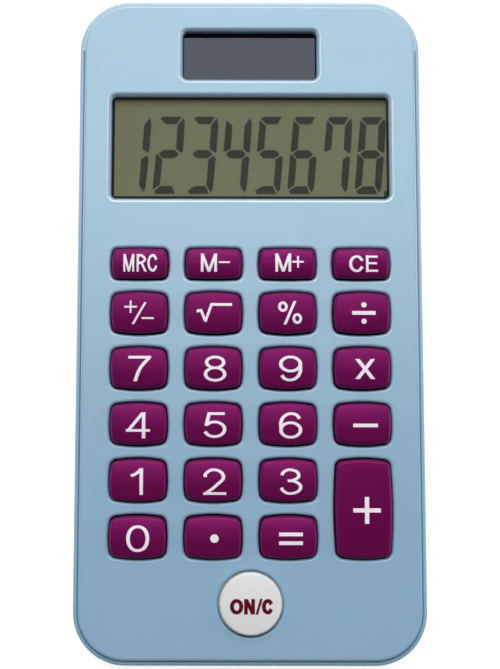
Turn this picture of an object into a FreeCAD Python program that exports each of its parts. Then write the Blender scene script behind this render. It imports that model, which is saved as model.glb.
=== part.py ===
import FreeCAD, Part
import math
import os

# Eight-digit solar calculator, lying on its feet with the keys up.
# Millimetres. +Z up, +Y towards the display end, +X right.
# Origin: centre of the outline, at the bottom of the rubber feet.

# Key field, sizes of the holes in the face
KEY_HOLE_WIDTH = 10.4
KEY_HOLE_LENGTH = 7.9
LOW_KEY_HOLE_LENGTH = 5.9
COLUMN_SPACING = 2.7
ROW_SPACING = 1.9
COLUMNS = 4
FULL_ROWS = 5
KEY_BOW = 0.5
KEY_SIDE_BOW = 0.35
LOW_KEY_BOW = 0.15
KEY_CORNER = 1.4
LOW_KEY_CORNER = 1.1
FACE_SHIFT = 0.08
ON_KEY_DIAMETER = 10.75

# Margins and gaps along the face, from the display end to the keys
SIDE_MARGIN = 6.15
TOP_MARGIN = 5.9
SOLAR_WIDTH = 24.2
SOLAR_LENGTH = 8.9
SOLAR_TO_DISPLAY = 3.25
DISPLAY_WIDTH = 49.9
DISPLAY_LENGTH = 18.7
DISPLAY_TO_KEYS = 9.0
KEYS_TO_ON_KEY = 1.69
BOTTOM_MARGIN = 5.25
OPENING_CORNER = 0.9

# Case shells
CASE_DEPTH = 9.0
REAR_DEPTH = 4.4
CASE_CORNER = 9.4
FRONT_WALL = 1.6
REAR_WALL = 1.5
SIDE_WALL = 2.0
SHOULDER_WIDTH = 1.15
SHOULDER_DROP = 0.75
SHOULDER_ROUND = 0.55
SHOULDER_GROOVE = 0.3
FACE_ROUND = 0.5
OPENING_ROUND = 0.85
KEY_HOLE_ROUND = 0.5
SIDE_DRAFT = 0.25
REAR_ROUND = 2.6
REAR_DRAFT = 0.3
PARTING_GROOVE = 0.2
TONGUE_HEIGHT = 1.1
TONGUE_THICKNESS = 0.85
TONGUE_CLEARANCE = 0.15

# Keys
KEY_CLEARANCE = 0.3
ON_KEY_CLEARANCE = 0.33
KEY_RISE = 1.45
CROWN_ALONG = 0.5
CROWN_ACROSS = 0.25
KEY_EDGE_ROUND = 0.6
ON_KEY_CROWN = 0.3
ON_KEY_EDGE_ROUND = 0.4
POCKET_CORNER = 0.5
KEY_FLANGE = 0.8
FLANGE_OVERLAP = 0.6
KEY_WALL = 1.0
KEY_POST_RADIUS = 1.8
KEY_TRAVEL = 1.0
TAB_WIDTH = 2.0
TAB_LENGTH = 1.2
TAB_CLEARANCE = 0.25

# Silicone mat
MAT_BASE = 0.5
DOME_RISE = 1.8
DOME_TOP_RADIUS = 2.0
DOME_FOOT_RADIUS = 3.2
DOME_SKIN = 0.35
PLUNGER_RADIUS = 1.5
MAT_MARGIN = 1.6
MAT_TOP_MARGIN = 0.5
MAT_CLEARANCE = 0.4

# Circuit board and what is on it
BOARD_THICKNESS = 1.2
BOARD_GAP = 0.5
BOARD_CORNER = 2.0
BOARD_BOSS_RADIUS = 1.8
BOARD_BOSS_X = 24.0
LOWER_BOSS_X = 15.0
CHIP_RADIUS = 5.5
CHIP_HEIGHT = 1.1
CAPACITOR_SIZE = (2.0, 1.25, 0.8)
CAPACITOR_SPACING = 4.0
RESISTOR_SIZE = (1.6, 0.8, 0.5)
DIODE_SIZE = (2.7, 1.4, 1.0)
COMPONENT_X = 11.0

# Display
WINDOW_RECESS = 1.0
WINDOW_THICKNESS = 0.8
WINDOW_MARGIN = 1.0
TAPE_THICKNESS = 0.15
TAPE_INSET = 0.3
POLARIZER = 0.2
GLASS = 0.7
LEDGE_LENGTH = 2.4
GLASS_GAP = 0.15
ROOM_CORNER = 0.4
CONNECTOR_LENGTH = 46.0
CONNECTOR_WIDTH = 1.8
FOAM_THICKNESS = 1.0
FOAM_LENGTH = 9.0
FOAM_WIDTH = 1.6
FOAM_X = 17.0
FRAME_WALL = 0.8

# Solar cell
SOLAR_RECESS = FRONT_WALL
SOLAR_WINDOW_THICKNESS = 0.8
SOLAR_MARGIN = 0.9
SOLAR_CELL_MARGIN = 0.5
SOLAR_CELL_THICKNESS = 1.1
LEAD_RADIUS = 0.35
LEAD_X = 9.0
LEAD_PAD_LENGTH = 3.5
LEAD_FALL = 4.0

# Button cell and its door
CELL_RADIUS = 5.8
CELL_HEIGHT = 3.05
CELL_CAP_RADIUS = 4.8
CELL_CAP_HEIGHT = 0.3
CELL_CLEARANCE = 0.3
CELL_OFFSET = 2.0
WELL_WALL = 0.8
WELL_HEIGHT = 1.6
DOOR_WIDTH = 16.0
DOOR_THICKNESS = 1.0
DOOR_CORNER = 2.0
DOOR_CLEARANCE = 0.15
DOOR_END_MARGIN = 2.2
DOOR_PAD = 0.5
DOOR_PAD_MARGIN = 1.5
DOOR_SCREW_OFFSET = 3.2
CONTACT_THICKNESS = 0.2
CONTACT_WIDTH = 2.4
CONTACT_SOLDER_LENGTH = 3.5
NEGATIVE_CONTACT_X = 4.4

# Fasteners, feet and posts
CASE_SCREW_INSET = 6.5
CASE_BOSS_RADIUS = 2.5
SEAT_BOSS_WALL = 0.8
CASE_SCREW_RADIUS = 1.0
CASE_HEAD_RADIUS = 1.9
CASE_HEAD_HEIGHT = 1.2
CASE_SCREW_LENGTH = 4.8
CASE_HEAD_SINK = 0.5
SEAT_THICKNESS = 0.8
BOARD_SCREW_RADIUS = 0.7
BOARD_HEAD_RADIUS = 1.4
BOARD_HEAD_HEIGHT = 0.8
BOARD_SCREW_LENGTH = 3.6
DOOR_SCREW_RADIUS = 0.7
DOOR_HEAD_RADIUS = 1.5
DOOR_HEAD_HEIGHT = 0.7
DOOR_SCREW_LENGTH = 2.6
DOOR_BOSS_RADIUS = 2.0
SCREW_CLEARANCE = 0.05
HEAD_CLEARANCE = 0.3
FOOT_RADIUS = 4.0
FOOT_STAND = 0.6
FOOT_RECESS = 0.5
FOOT_CLEARANCE = 0.1
FOOT_ROUND = 0.4
FOOT_INSET_X = 8.5
FOOT_INSET_Y = 16.0
POST_RADIUS = 1.5
POST_X = 20.0
SCREW_SLOT_WIDTH = 0.5
SCREW_SLOT_DEPTH = 0.5
PILOT_EXTRA = 0.4

# Layout of the face, worked out from the values above
KEY_PITCH = KEY_HOLE_WIDTH + COLUMN_SPACING
ROW_PITCH = KEY_HOLE_LENGTH + ROW_SPACING
FIELD_WIDTH = COLUMNS * KEY_HOLE_WIDTH + (COLUMNS - 1) * COLUMN_SPACING
FIELD_LENGTH = LOW_KEY_HOLE_LENGTH + FULL_ROWS * ROW_PITCH
ON_HOLE_DIAMETER = ON_KEY_DIAMETER + 2 * ON_KEY_CLEARANCE
CASE_WIDTH = FIELD_WIDTH + 2 * SIDE_MARGIN
CASE_LENGTH = (TOP_MARGIN + SOLAR_LENGTH + SOLAR_TO_DISPLAY + DISPLAY_LENGTH + DISPLAY_TO_KEYS
               + FIELD_LENGTH + KEYS_TO_ON_KEY + ON_HOLE_DIAMETER + BOTTOM_MARGIN)
SOLAR_Y = CASE_LENGTH / 2 - TOP_MARGIN - SOLAR_LENGTH / 2
DISPLAY_Y = SOLAR_Y - SOLAR_LENGTH / 2 - SOLAR_TO_DISPLAY - DISPLAY_LENGTH / 2
FIELD_TOP_Y = DISPLAY_Y - DISPLAY_LENGTH / 2 - DISPLAY_TO_KEYS
LOW_ROW_Y = FIELD_TOP_Y - LOW_KEY_HOLE_LENGTH / 2
FIRST_ROW_Y = FIELD_TOP_Y - LOW_KEY_HOLE_LENGTH - ROW_SPACING - KEY_HOLE_LENGTH / 2
ON_KEY_Y = -CASE_LENGTH / 2 + BOTTOM_MARGIN + ON_HOLE_DIAMETER / 2
PLUS_HOLE_LENGTH = KEY_HOLE_LENGTH + ROW_PITCH

# Heights, worked out from the values above
REAR_Z = FOOT_STAND
FLOOR_Z = REAR_Z + REAR_WALL
PARTING_Z = REAR_Z + REAR_DEPTH
FACE_Z = REAR_Z + CASE_DEPTH
SHOULDER_Z = FACE_Z - SHOULDER_DROP
CEILING_Z = FACE_Z - FRONT_WALL
FLANGE_Z = CEILING_Z - KEY_FLANGE
KEY_TOP_Z = FACE_Z + KEY_RISE
KEY_EDGE_Z = KEY_TOP_Z - CROWN_ALONG - CROWN_ACROSS
BOARD_TOP_Z = FLANGE_Z - DOME_RISE - MAT_BASE
BOARD_Z = BOARD_TOP_Z - BOARD_THICKNESS
WINDOW_TOP_Z = FACE_Z - WINDOW_RECESS
WINDOW_Z = WINDOW_TOP_Z - WINDOW_THICKNESS
POLARIZER_TOP_Z = WINDOW_Z - TAPE_THICKNESS
GLASS_TOP_Z = POLARIZER_TOP_Z - POLARIZER
GLASS_MIDDLE_Z = GLASS_TOP_Z - GLASS
GLASS_BOTTOM_Z = GLASS_MIDDLE_Z - GLASS
REFLECTOR_Z = GLASS_BOTTOM_Z - POLARIZER
SOLAR_TOP_Z = FACE_Z - SOLAR_RECESS
SOLAR_CELL_TOP_Z = SOLAR_TOP_Z - SOLAR_WINDOW_THICKNESS
SOLAR_CELL_Z = SOLAR_CELL_TOP_Z - SOLAR_CELL_THICKNESS
DOOR_TOP_Z = REAR_Z + DOOR_THICKNESS
PAD_TOP_Z = FLOOR_Z + DOOR_PAD
CELL_TOP_Z = DOOR_TOP_Z + CELL_HEIGHT
SCREW_SEAT_Z = REAR_Z + CASE_HEAD_SINK + CASE_HEAD_HEIGHT
BOSS_Z = SCREW_SEAT_Z + SEAT_THICKNESS

# Places inside the case, worked out from the values above
GLASS_WIDTH = DISPLAY_WIDTH + 2 * WINDOW_MARGIN
GLASS_LENGTH = DISPLAY_LENGTH + 2 * WINDOW_MARGIN
LEDGE_Y = DISPLAY_Y - GLASS_LENGTH / 2 - LEDGE_LENGTH
CONNECTOR_Y = LEDGE_Y + LEDGE_LENGTH / 2
BOARD_WIDTH = CASE_WIDTH - 2 * SIDE_WALL - 2 * BOARD_GAP
BOARD_HIGH_Y = LEDGE_Y + LEDGE_LENGTH + BOARD_GAP
BOARD_LOW_Y = -CASE_LENGTH / 2 + SIDE_WALL + BOARD_GAP
UPPER_BOSS_Y = (FIELD_TOP_Y + FLANGE_OVERLAP + LEDGE_Y - GLASS_GAP - FRAME_WALL) / 2
CELL_Y = DISPLAY_Y - CELL_OFFSET
DOOR_SCREW_Y = CELL_Y + CELL_RADIUS + DOOR_SCREW_OFFSET
DOOR_LOW_Y = CELL_Y - CELL_RADIUS - DOOR_END_MARGIN
DOOR_HIGH_Y = DOOR_SCREW_Y + DOOR_HEAD_RADIUS + DOOR_END_MARGIN
FOAM_Y = DISPLAY_Y + GLASS_LENGTH / 2 - FOAM_WIDTH

KEY_NAMES = (
    ("sign", "root", "percent", "divide"),
    ("7", "8", "9", "multiply"),
    ("4", "5", "6", "minus"),
    ("1", "2", "3", "plus"),
    ("0", "point", "equals", None),
)
LOW_KEY_NAMES = ("mrc", "m_minus", "m_plus", "ce")


def vec(x, y, z=0.0):
    return FreeCAD.Vector(x, y, z)


UP = vec(0, 0, 1)


def rounded_wire(corners, to_point):
    """Closed wire through (a, b, radius) corners, each rounded by its own radius."""
    count = len(corners)
    edges = []
    ends = []
    for index, (a, b, radius) in enumerate(corners):
        here = vec(a, b)
        before = vec(*corners[index - 1][:2]) - here
        after = vec(*corners[(index + 1) % count][:2]) - here
        if radius == 0:
            ends.append((here, here, None))
            continue
        half = before.getAngle(after) / 2
        back = radius / math.tan(half)
        middle = (before.normalize() + after.normalize()).normalize()
        bulge = here + middle * (radius / math.sin(half) - radius)
        ends.append((here + before * back, here + after * back, bulge))
    for index, (start, end, bulge) in enumerate(ends):
        if bulge is not None:
            edges.append(Part.Arc(to_point(start), to_point(bulge), to_point(end)).toShape())
        next_start = ends[(index + 1) % count][0]
        if (next_start - end).Length > 1e-6:
            edges.append(Part.makeLine(to_point(end), to_point(next_start)))
    return Part.Wire(edges)


def slab(width, length, corner, contour):
    """Rounded-corner slab whose rim follows a contour of (inset, z, radius) from bottom to top."""
    low_z = contour[0][1]
    high_z = contour[-1][1]
    rim = [(corner - inset, z, radius) for inset, z, radius in contour]
    section = Part.Face(rounded_wire([(0, low_z, 0)] + rim + [(0, high_z, 0)],
                                     lambda p: vec(p.x, 0, p.y)))
    half_x = width / 2 - corner
    half_y = length / 2 - corner
    solids = [Part.makeBox(2 * half_x, 2 * half_y, high_z - low_z, vec(-half_x, -half_y, low_z))]
    places = ((half_x, half_y, 2 * half_x), (-half_x, half_y, 2 * half_y),
              (-half_x, -half_y, 2 * half_x), (half_x, -half_y, 2 * half_y))
    for quarter, (x, y, run) in enumerate(places):
        turned = section.copy()
        turned.rotate(vec(0, 0), UP, 90 * quarter)
        turned.translate(vec(x, y))
        solids.append(turned.revolve(vec(x, y), UP, 90))
        ahead = vec(-1, 0)
        ahead = FreeCAD.Rotation(UP, 90 * quarter).multVec(ahead)
        end = section.copy()
        end.rotate(vec(0, 0), UP, 90 * (quarter + 1))
        end.translate(vec(x, y))
        solids.append(end.extrude(ahead * run))
    return solids[0].multiFuse(solids[1:]).removeSplitter()


def plate(width, length, corner, low_z, high_z, x=0.0, y=0.0):
    """Flat plate with rounded corners, centred on (x, y)."""
    half_x = width / 2
    half_y = length / 2
    corners = [(half_x, half_y), (-half_x, half_y), (-half_x, -half_y), (half_x, -half_y)]
    wire = rounded_wire([(x + a, y + b, corner) for a, b in corners],
                        lambda p: vec(p.x, p.y, low_z))
    return Part.Face(wire).extrude(vec(0, 0, high_z - low_z))


def block(low_x, low_y, low_z, high_x, high_y, high_z):
    return Part.makeBox(high_x - low_x, high_y - low_y, high_z - low_z, vec(low_x, low_y, low_z))


def rod(radius, low_z, high_z, x=0.0, y=0.0):
    return Part.makeCylinder(radius, high_z - low_z, vec(x, y, low_z))


def frame(width, length, wall, corner, low_z, high_z, x, y):
    """Upright wall round a rectangle."""
    outer = plate(width + 2 * wall, length + 2 * wall, corner + wall, low_z, high_z, x, y)
    return outer.cut(plate(width, length, corner, low_z, high_z, x, y))


def bowed_prism(width, length, bow, side_bow, corner, low_z, high_z):
    """Upright prism of a pillow outline: four shallow arcs with rounded corners."""
    half_x = width / 2
    half_y = length / 2
    corners = [vec(a * (half_x - side_bow), b * (half_y - bow), low_z)
               for a, b in ((1, 1), (-1, 1), (-1, -1), (1, -1))]
    middles = [vec(0, half_y, low_z), vec(-half_x, 0, low_z), vec(0, -half_y, low_z), vec(half_x, 0, low_z)]
    arcs = [Part.Arc(corners[i], middles[i], corners[(i + 1) % 4]).toShape() for i in range(4)]
    prism = Part.Face(Part.Wire(arcs)).extrude(vec(0, 0, high_z - low_z))
    upright = [edge for edge in prism.Edges if edge.BoundBox.ZLength > (high_z - low_z) / 2]
    return prism.makeFillet(corner, upright)


def arc_radius(chord, rise):
    """Radius of a shallow arc over a chord."""
    return chord ** 2 / (8 * rise)


def crowned(prism, along, across, edge_round):
    """Cut the top of a key to a pillow of these two radii and round its edge."""
    if along < across:
        pillow = Part.makeTorus(across - along, along, vec(0, 0, KEY_TOP_Z - across), vec(0, 1, 0))
    else:
        pillow = Part.makeSphere(along, vec(0, 0, KEY_TOP_Z - along))
    cap = prism.common(pillow)
    rim = [edge for edge in cap.Edges if edge.BoundBox.ZMin > FACE_Z]
    return cap.makeFillet(edge_round, rim)


def hollow(cap, pocket, flange):
    """Key cap with its flange, hollow underneath, with a post that stands on its dome."""
    post = rod(KEY_POST_RADIUS, FLANGE_Z, KEY_TOP_Z - KEY_WALL)
    return cap.fuse(flange).cut(pocket.cut(post)).removeSplitter()


def key_cap(hole_length, bow, corner):
    """Moulded key for a hole of this length."""
    width = KEY_HOLE_WIDTH - 2 * KEY_CLEARANCE
    length = hole_length - 2 * KEY_CLEARANCE
    body = bowed_prism(width, length, bow, KEY_SIDE_BOW, corner - KEY_CLEARANCE, FLANGE_Z, KEY_TOP_Z)
    pocket = bowed_prism(width - 2 * KEY_WALL, length - 2 * KEY_WALL, bow, KEY_SIDE_BOW,
                         POCKET_CORNER, FLANGE_Z, KEY_EDGE_Z - KEY_WALL)
    flange = plate(KEY_HOLE_WIDTH + 2 * FLANGE_OVERLAP, hole_length + 2 * FLANGE_OVERLAP, corner,
                   FLANGE_Z, CEILING_Z)
    along = arc_radius(length, CROWN_ALONG)
    across = arc_radius(width, CROWN_ACROSS)
    return hollow(crowned(body, along, across, KEY_EDGE_ROUND), pocket, flange)


def on_key_cap():
    """Round key with a tab on its flange that keeps it from turning."""
    radius = ON_KEY_DIAMETER / 2
    body = rod(radius, FLANGE_Z, KEY_TOP_Z)
    pocket = rod(radius - KEY_WALL, FLANGE_Z, KEY_EDGE_Z - KEY_WALL)
    flange_radius = ON_HOLE_DIAMETER / 2 + FLANGE_OVERLAP
    tab = block(radius, -TAB_WIDTH / 2, FLANGE_Z, flange_radius + TAB_LENGTH, TAB_WIDTH / 2, CEILING_Z)
    flange = rod(flange_radius, FLANGE_Z, CEILING_Z).fuse(tab)
    dome = arc_radius(ON_KEY_DIAMETER, ON_KEY_CROWN)
    return hollow(crowned(body, dome, dome, ON_KEY_EDGE_ROUND), pocket, flange)


def column_x(column):
    return FACE_SHIFT + (column - (COLUMNS - 1) / 2) * KEY_PITCH


def row_y(row):
    return FIRST_ROW_Y - row * ROW_PITCH


def key_places():
    """Name, kind, x and y of every key."""
    places = [(name, "low", column_x(i), LOW_ROW_Y) for i, name in enumerate(LOW_KEY_NAMES)]
    for row, names in enumerate(KEY_NAMES):
        for column, name in enumerate(names):
            if name == "plus":
                places.append((name, "tall", column_x(column), (row_y(row) + row_y(row + 1)) / 2))
            elif name is not None:
                places.append((name, "full", column_x(column), row_y(row)))
    places.append(("on", "round", FACE_SHIFT, ON_KEY_Y))
    return places


def key_hole(kind, low_z, high_z):
    """Prism of the hole in the face for one kind of key."""
    if kind == "round":
        return rod(ON_HOLE_DIAMETER / 2, low_z, high_z)
    if kind == "low":
        return bowed_prism(KEY_HOLE_WIDTH, LOW_KEY_HOLE_LENGTH, LOW_KEY_BOW, KEY_SIDE_BOW,
                           LOW_KEY_CORNER, low_z, high_z)
    length = PLUS_HOLE_LENGTH if kind == "tall" else KEY_HOLE_LENGTH
    return bowed_prism(KEY_HOLE_WIDTH, length, KEY_BOW, KEY_SIDE_BOW, KEY_CORNER, low_z, high_z)


def moved(shape, x, y):
    copy = shape.copy()
    copy.translate(vec(x, y))
    return copy


def four_corners(x, y):
    return [(a * x, b * y) for a in (1, -1) for b in (1, -1)]


def case_screw_places():
    return four_corners(CASE_WIDTH / 2 - CASE_SCREW_INSET, CASE_LENGTH / 2 - CASE_SCREW_INSET)


def board_screw_places():
    return [(BOARD_BOSS_X, UPPER_BOSS_Y), (-BOARD_BOSS_X, UPPER_BOSS_Y),
            (LOWER_BOSS_X, ON_KEY_Y), (-LOWER_BOSS_X, ON_KEY_Y)]


def foot_places():
    return four_corners(CASE_WIDTH / 2 - FOOT_INSET_X, CASE_LENGTH / 2 - FOOT_INSET_Y)


def inset_plate(inset, low_z, high_z):
    """Plate of the case outline, drawn in by an inset."""
    return plate(CASE_WIDTH - 2 * inset, CASE_LENGTH - 2 * inset, CASE_CORNER - inset, low_z, high_z)


def display_room(low_z, high_z):
    """Space for the display window and glass."""
    y = DISPLAY_Y - LEDGE_LENGTH / 2
    return (GLASS_WIDTH + 2 * GLASS_GAP, GLASS_LENGTH + LEDGE_LENGTH + 2 * GLASS_GAP, low_z, high_z, y)


def face_edges(shell, width, low_y, high_y):
    """Edges of the openings in the face within a width and a stretch of the length."""
    found = []
    for edge in shell.Edges:
        box = edge.BoundBox
        inside = abs(box.Center.x) < width / 2 + FACE_ROUND and low_y - FACE_ROUND < box.Center.y
        if inside and box.Center.y < high_y + FACE_ROUND and box.ZMin > FACE_Z - FACE_ROUND / 2:
            found.append(edge)
    return found


def shoulder_groove():
    """V groove at the foot of the raised face, round all but the display end."""
    low_z = SHOULDER_Z - SHOULDER_GROOVE
    ring = slab(CASE_WIDTH, CASE_LENGTH, CASE_CORNER, [
        (SHOULDER_WIDTH, low_z, 0),
        (SHOULDER_WIDTH - SHOULDER_GROOVE, SHOULDER_Z, 0),
    ])
    ring = ring.cut(inset_plate(SHOULDER_WIDTH, low_z, SHOULDER_Z))
    half_width = CASE_WIDTH / 2
    half_length = CASE_LENGTH / 2
    return ring.common(block(-half_width, -half_length, low_z, half_width, half_length - CASE_CORNER, SHOULDER_Z))


def front_shell():
    """Moulded front shell with its raised face, openings and key holes, before its ribs."""
    shell = slab(CASE_WIDTH, CASE_LENGTH, CASE_CORNER, [
        (PARTING_GROOVE, PARTING_Z, 0),
        (0, PARTING_Z + PARTING_GROOVE, 0),
        (SIDE_DRAFT, SHOULDER_Z, SHOULDER_ROUND),
        (SHOULDER_WIDTH, SHOULDER_Z, 0),
        (SHOULDER_WIDTH, FACE_Z, FACE_ROUND),
    ])
    display = plate(DISPLAY_WIDTH, DISPLAY_LENGTH, OPENING_CORNER, CEILING_Z, FACE_Z, FACE_SHIFT, DISPLAY_Y)
    solar = plate(SOLAR_WIDTH, SOLAR_LENGTH, OPENING_CORNER, CEILING_Z, FACE_Z, 0, SOLAR_Y)
    rebate_inset = SIDE_WALL - TONGUE_THICKNESS - TONGUE_CLEARANCE
    rebate = inset_plate(rebate_inset, PARTING_Z, PARTING_Z + TONGUE_HEIGHT + TONGUE_CLEARANCE)
    shell = shell.cut([inset_plate(SIDE_WALL, PARTING_Z, CEILING_Z), rebate, display, solar, shoulder_groove()])
    low_y = DISPLAY_Y - DISPLAY_LENGTH / 2
    high_y = SOLAR_Y + SOLAR_LENGTH / 2
    shell = shell.makeFillet(OPENING_ROUND, face_edges(shell, DISPLAY_WIDTH, low_y, high_y))
    holes = {kind: key_hole(kind, CEILING_Z, FACE_Z) for kind in ("low", "full", "tall", "round")}
    shell = shell.cut([moved(holes[kind], x, y) for _, kind, x, y in key_places()])
    low_y = ON_KEY_Y - ON_HOLE_DIAMETER / 2 - KEY_HOLE_ROUND
    return shell.makeFillet(KEY_HOLE_ROUND, face_edges(shell, FIELD_WIDTH, low_y, FIELD_TOP_Y))


def front_case():
    """Front shell with its bosses, ribs and the frames for the display and the solar cell."""
    width, length, low_z, high_z, y = display_room(GLASS_BOTTOM_Z, CEILING_Z)
    solar_width = SOLAR_WIDTH + 2 * SOLAR_MARGIN + 2 * GLASS_GAP
    solar_length = SOLAR_LENGTH + 2 * SOLAR_MARGIN + 2 * GLASS_GAP
    added = [frame(width, length, FRAME_WALL, ROOM_CORNER, low_z, high_z, 0, y),
             frame(solar_width, solar_length, FRAME_WALL, ROOM_CORNER, SOLAR_CELL_Z, CEILING_Z, 0, SOLAR_Y)]
    removed = [plate(width, length, ROOM_CORNER, low_z, high_z, 0, y),
               plate(solar_width, solar_length, ROOM_CORNER, SOLAR_CELL_Z, SOLAR_TOP_Z, 0, SOLAR_Y),
               plate(width, GLASS_LENGTH + 2 * GLASS_GAP, ROOM_CORNER, CEILING_Z, WINDOW_TOP_Z, 0, DISPLAY_Y)]
    for x, y in case_screw_places():
        added.append(rod(CASE_BOSS_RADIUS, BOSS_Z, CEILING_Z, x, y))
        removed.append(rod(CASE_SCREW_RADIUS + SCREW_CLEARANCE, BOSS_Z,
                           SCREW_SEAT_Z + CASE_SCREW_LENGTH + PILOT_EXTRA, x, y))
    for x, y in board_screw_places():
        added.append(rod(BOARD_BOSS_RADIUS, BOARD_TOP_Z, CEILING_Z, x, y))
        removed.append(rod(BOARD_SCREW_RADIUS + SCREW_CLEARANCE, BOARD_TOP_Z,
                           BOARD_Z + BOARD_SCREW_LENGTH + PILOT_EXTRA, x, y))
    rib_x = FIELD_WIDTH / 2 + MAT_MARGIN + MAT_CLEARANCE
    for low_x in (rib_x, -rib_x - FRAME_WALL):
        added.append(block(low_x, row_y(FULL_ROWS - 1), BOARD_TOP_Z, low_x + FRAME_WALL, LOW_ROW_Y, CEILING_Z))
    tab_x = FACE_SHIFT + ON_HOLE_DIAMETER / 2 + FLANGE_OVERLAP
    for side in (1, -1):
        near = side * (TAB_WIDTH / 2 + TAB_CLEARANCE)
        far = near + side * FRAME_WALL
        added.append(block(tab_x + TAB_CLEARANCE, ON_KEY_Y + min(near, far), FLANGE_Z - KEY_TRAVEL,
                           tab_x + TAB_LENGTH + TAB_CLEARANCE, ON_KEY_Y + max(near, far), CEILING_Z))
    return front_shell().multiFuse(added).cut(removed).removeSplitter()


def rear_case():
    """Moulded rear shell: tongue, screw seats, button cell well, board posts and display ribs."""
    shell = slab(CASE_WIDTH, CASE_LENGTH, CASE_CORNER, [
        (REAR_DRAFT, REAR_Z, REAR_ROUND),
        (0, PARTING_Z - PARTING_GROOVE, 0),
        (PARTING_GROOVE, PARTING_Z, 0),
    ])
    tongue_top = PARTING_Z + TONGUE_HEIGHT
    added = [inset_plate(SIDE_WALL - TONGUE_THICKNESS, PARTING_Z, tongue_top)]
    shell = shell.multiFuse(added).cut(inset_plate(SIDE_WALL, FLOOR_Z, tongue_top))
    door_length = DOOR_HIGH_Y - DOOR_LOW_Y
    door_y = (DOOR_HIGH_Y + DOOR_LOW_Y) / 2
    well_radius = CELL_RADIUS + CELL_CLEARANCE
    well_top = PAD_TOP_Z + WELL_HEIGHT
    added = [plate(DOOR_WIDTH + 2 * DOOR_PAD_MARGIN, door_length + 2 * DOOR_PAD_MARGIN,
                   DOOR_CORNER + DOOR_PAD_MARGIN, FLOOR_Z, PAD_TOP_Z, 0, door_y),
             rod(well_radius + WELL_WALL, PAD_TOP_Z, well_top, 0, CELL_Y),
             rod(DOOR_BOSS_RADIUS, PAD_TOP_Z, well_top, 0, DOOR_SCREW_Y)]
    slot = CONTACT_WIDTH / 2 + CELL_CLEARANCE
    removed = [plate(DOOR_WIDTH + 2 * DOOR_CLEARANCE, door_length + 2 * DOOR_CLEARANCE,
                     DOOR_CORNER + DOOR_CLEARANCE, REAR_Z, DOOR_TOP_Z, 0, door_y),
               rod(well_radius, DOOR_TOP_Z, well_top, 0, CELL_Y),
               block(-slot, CELL_Y - well_radius - 2 * WELL_WALL, PAD_TOP_Z, slot, CELL_Y, well_top),
               rod(DOOR_SCREW_RADIUS + SCREW_CLEARANCE, DOOR_TOP_Z,
                   REAR_Z + DOOR_SCREW_LENGTH + PILOT_EXTRA, 0, DOOR_SCREW_Y)]
    for x, y in case_screw_places():
        sink = CASE_HEAD_RADIUS + HEAD_CLEARANCE
        added.append(rod(sink + SEAT_BOSS_WALL, FLOOR_Z, BOSS_Z, x, y))
        removed.append(rod(sink, REAR_Z, SCREW_SEAT_Z, x, y))
        removed.append(rod(CASE_SCREW_RADIUS + HEAD_CLEARANCE, SCREW_SEAT_Z, BOSS_Z, x, y))
    for x, y in foot_places():
        removed.append(rod(FOOT_RADIUS + FOOT_CLEARANCE, REAR_Z, REAR_Z + FOOT_RECESS, x, y))
    for side in (1, -1):
        x = side * FOAM_X
        added.append(block(x - FOAM_LENGTH / 2, FOAM_Y - FOAM_WIDTH / 2, FLOOR_Z,
                           x + FOAM_LENGTH / 2, FOAM_Y + FOAM_WIDTH / 2, REFLECTOR_Z - FOAM_THICKNESS))
        for y in (LOW_ROW_Y, row_y(2), row_y(FULL_ROWS - 1)):
            added.append(rod(POST_RADIUS, FLOOR_Z, BOARD_Z, side * POST_X, y))
    return shell.multiFuse(added).cut(removed).removeSplitter()


def pan_screw(radius, length, head_radius, head_height, seat_z):
    """Upward-driven screw: round head under the seat, plain shank above it, cross slot in the head."""
    head = rod(head_radius, seat_z - head_height, seat_z)
    low_edge = [edge for edge in head.Edges if edge.BoundBox.ZMax < seat_z - head_height / 2]
    head = head.makeFillet(head_height / 3, low_edge)
    shank = rod(radius, seat_z, seat_z + length)
    slot = cross_slot(head_radius, seat_z - head_height)
    return head.fuse(shank).cut(slot).removeSplitter()


def cross_slot(head_radius, low_z):
    half = SCREW_SLOT_WIDTH / 2
    reach = head_radius * 0.6
    top = low_z + SCREW_SLOT_DEPTH
    return block(-reach, -half, low_z, reach, half, top).fuse(block(-half, -reach, low_z, half, reach, top))


def flat_screw():
    """Countersunk screw of the battery door."""
    tip = REAR_Z + DOOR_SCREW_LENGTH
    cone = Part.makeCone(DOOR_HEAD_RADIUS, DOOR_SCREW_RADIUS, DOOR_HEAD_HEIGHT, vec(0, 0, REAR_Z))
    shank = rod(DOOR_SCREW_RADIUS, REAR_Z + DOOR_HEAD_HEIGHT, tip)
    return moved(cone.fuse(shank).cut(cross_slot(DOOR_HEAD_RADIUS, REAR_Z)).removeSplitter(), 0, DOOR_SCREW_Y)


def battery_door():
    """Flush door with a countersunk screw hole."""
    door = plate(DOOR_WIDTH, DOOR_HIGH_Y - DOOR_LOW_Y, DOOR_CORNER, REAR_Z, DOOR_TOP_Z, 0,
                 (DOOR_HIGH_Y + DOOR_LOW_Y) / 2)
    sink = Part.makeCone(DOOR_HEAD_RADIUS + SCREW_CLEARANCE, DOOR_SCREW_RADIUS + SCREW_CLEARANCE,
                         DOOR_HEAD_HEIGHT, vec(0, DOOR_SCREW_Y, REAR_Z))
    return door.cut([sink, rod(DOOR_SCREW_RADIUS + SCREW_CLEARANCE, REAR_Z, DOOR_TOP_Z, 0, DOOR_SCREW_Y)])


def rubber_foot():
    foot = rod(FOOT_RADIUS, 0, REAR_Z + FOOT_RECESS)
    low_edge = [edge for edge in foot.Edges if edge.BoundBox.ZMax < FOOT_ROUND]
    return foot.makeFillet(FOOT_ROUND, low_edge)


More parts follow.
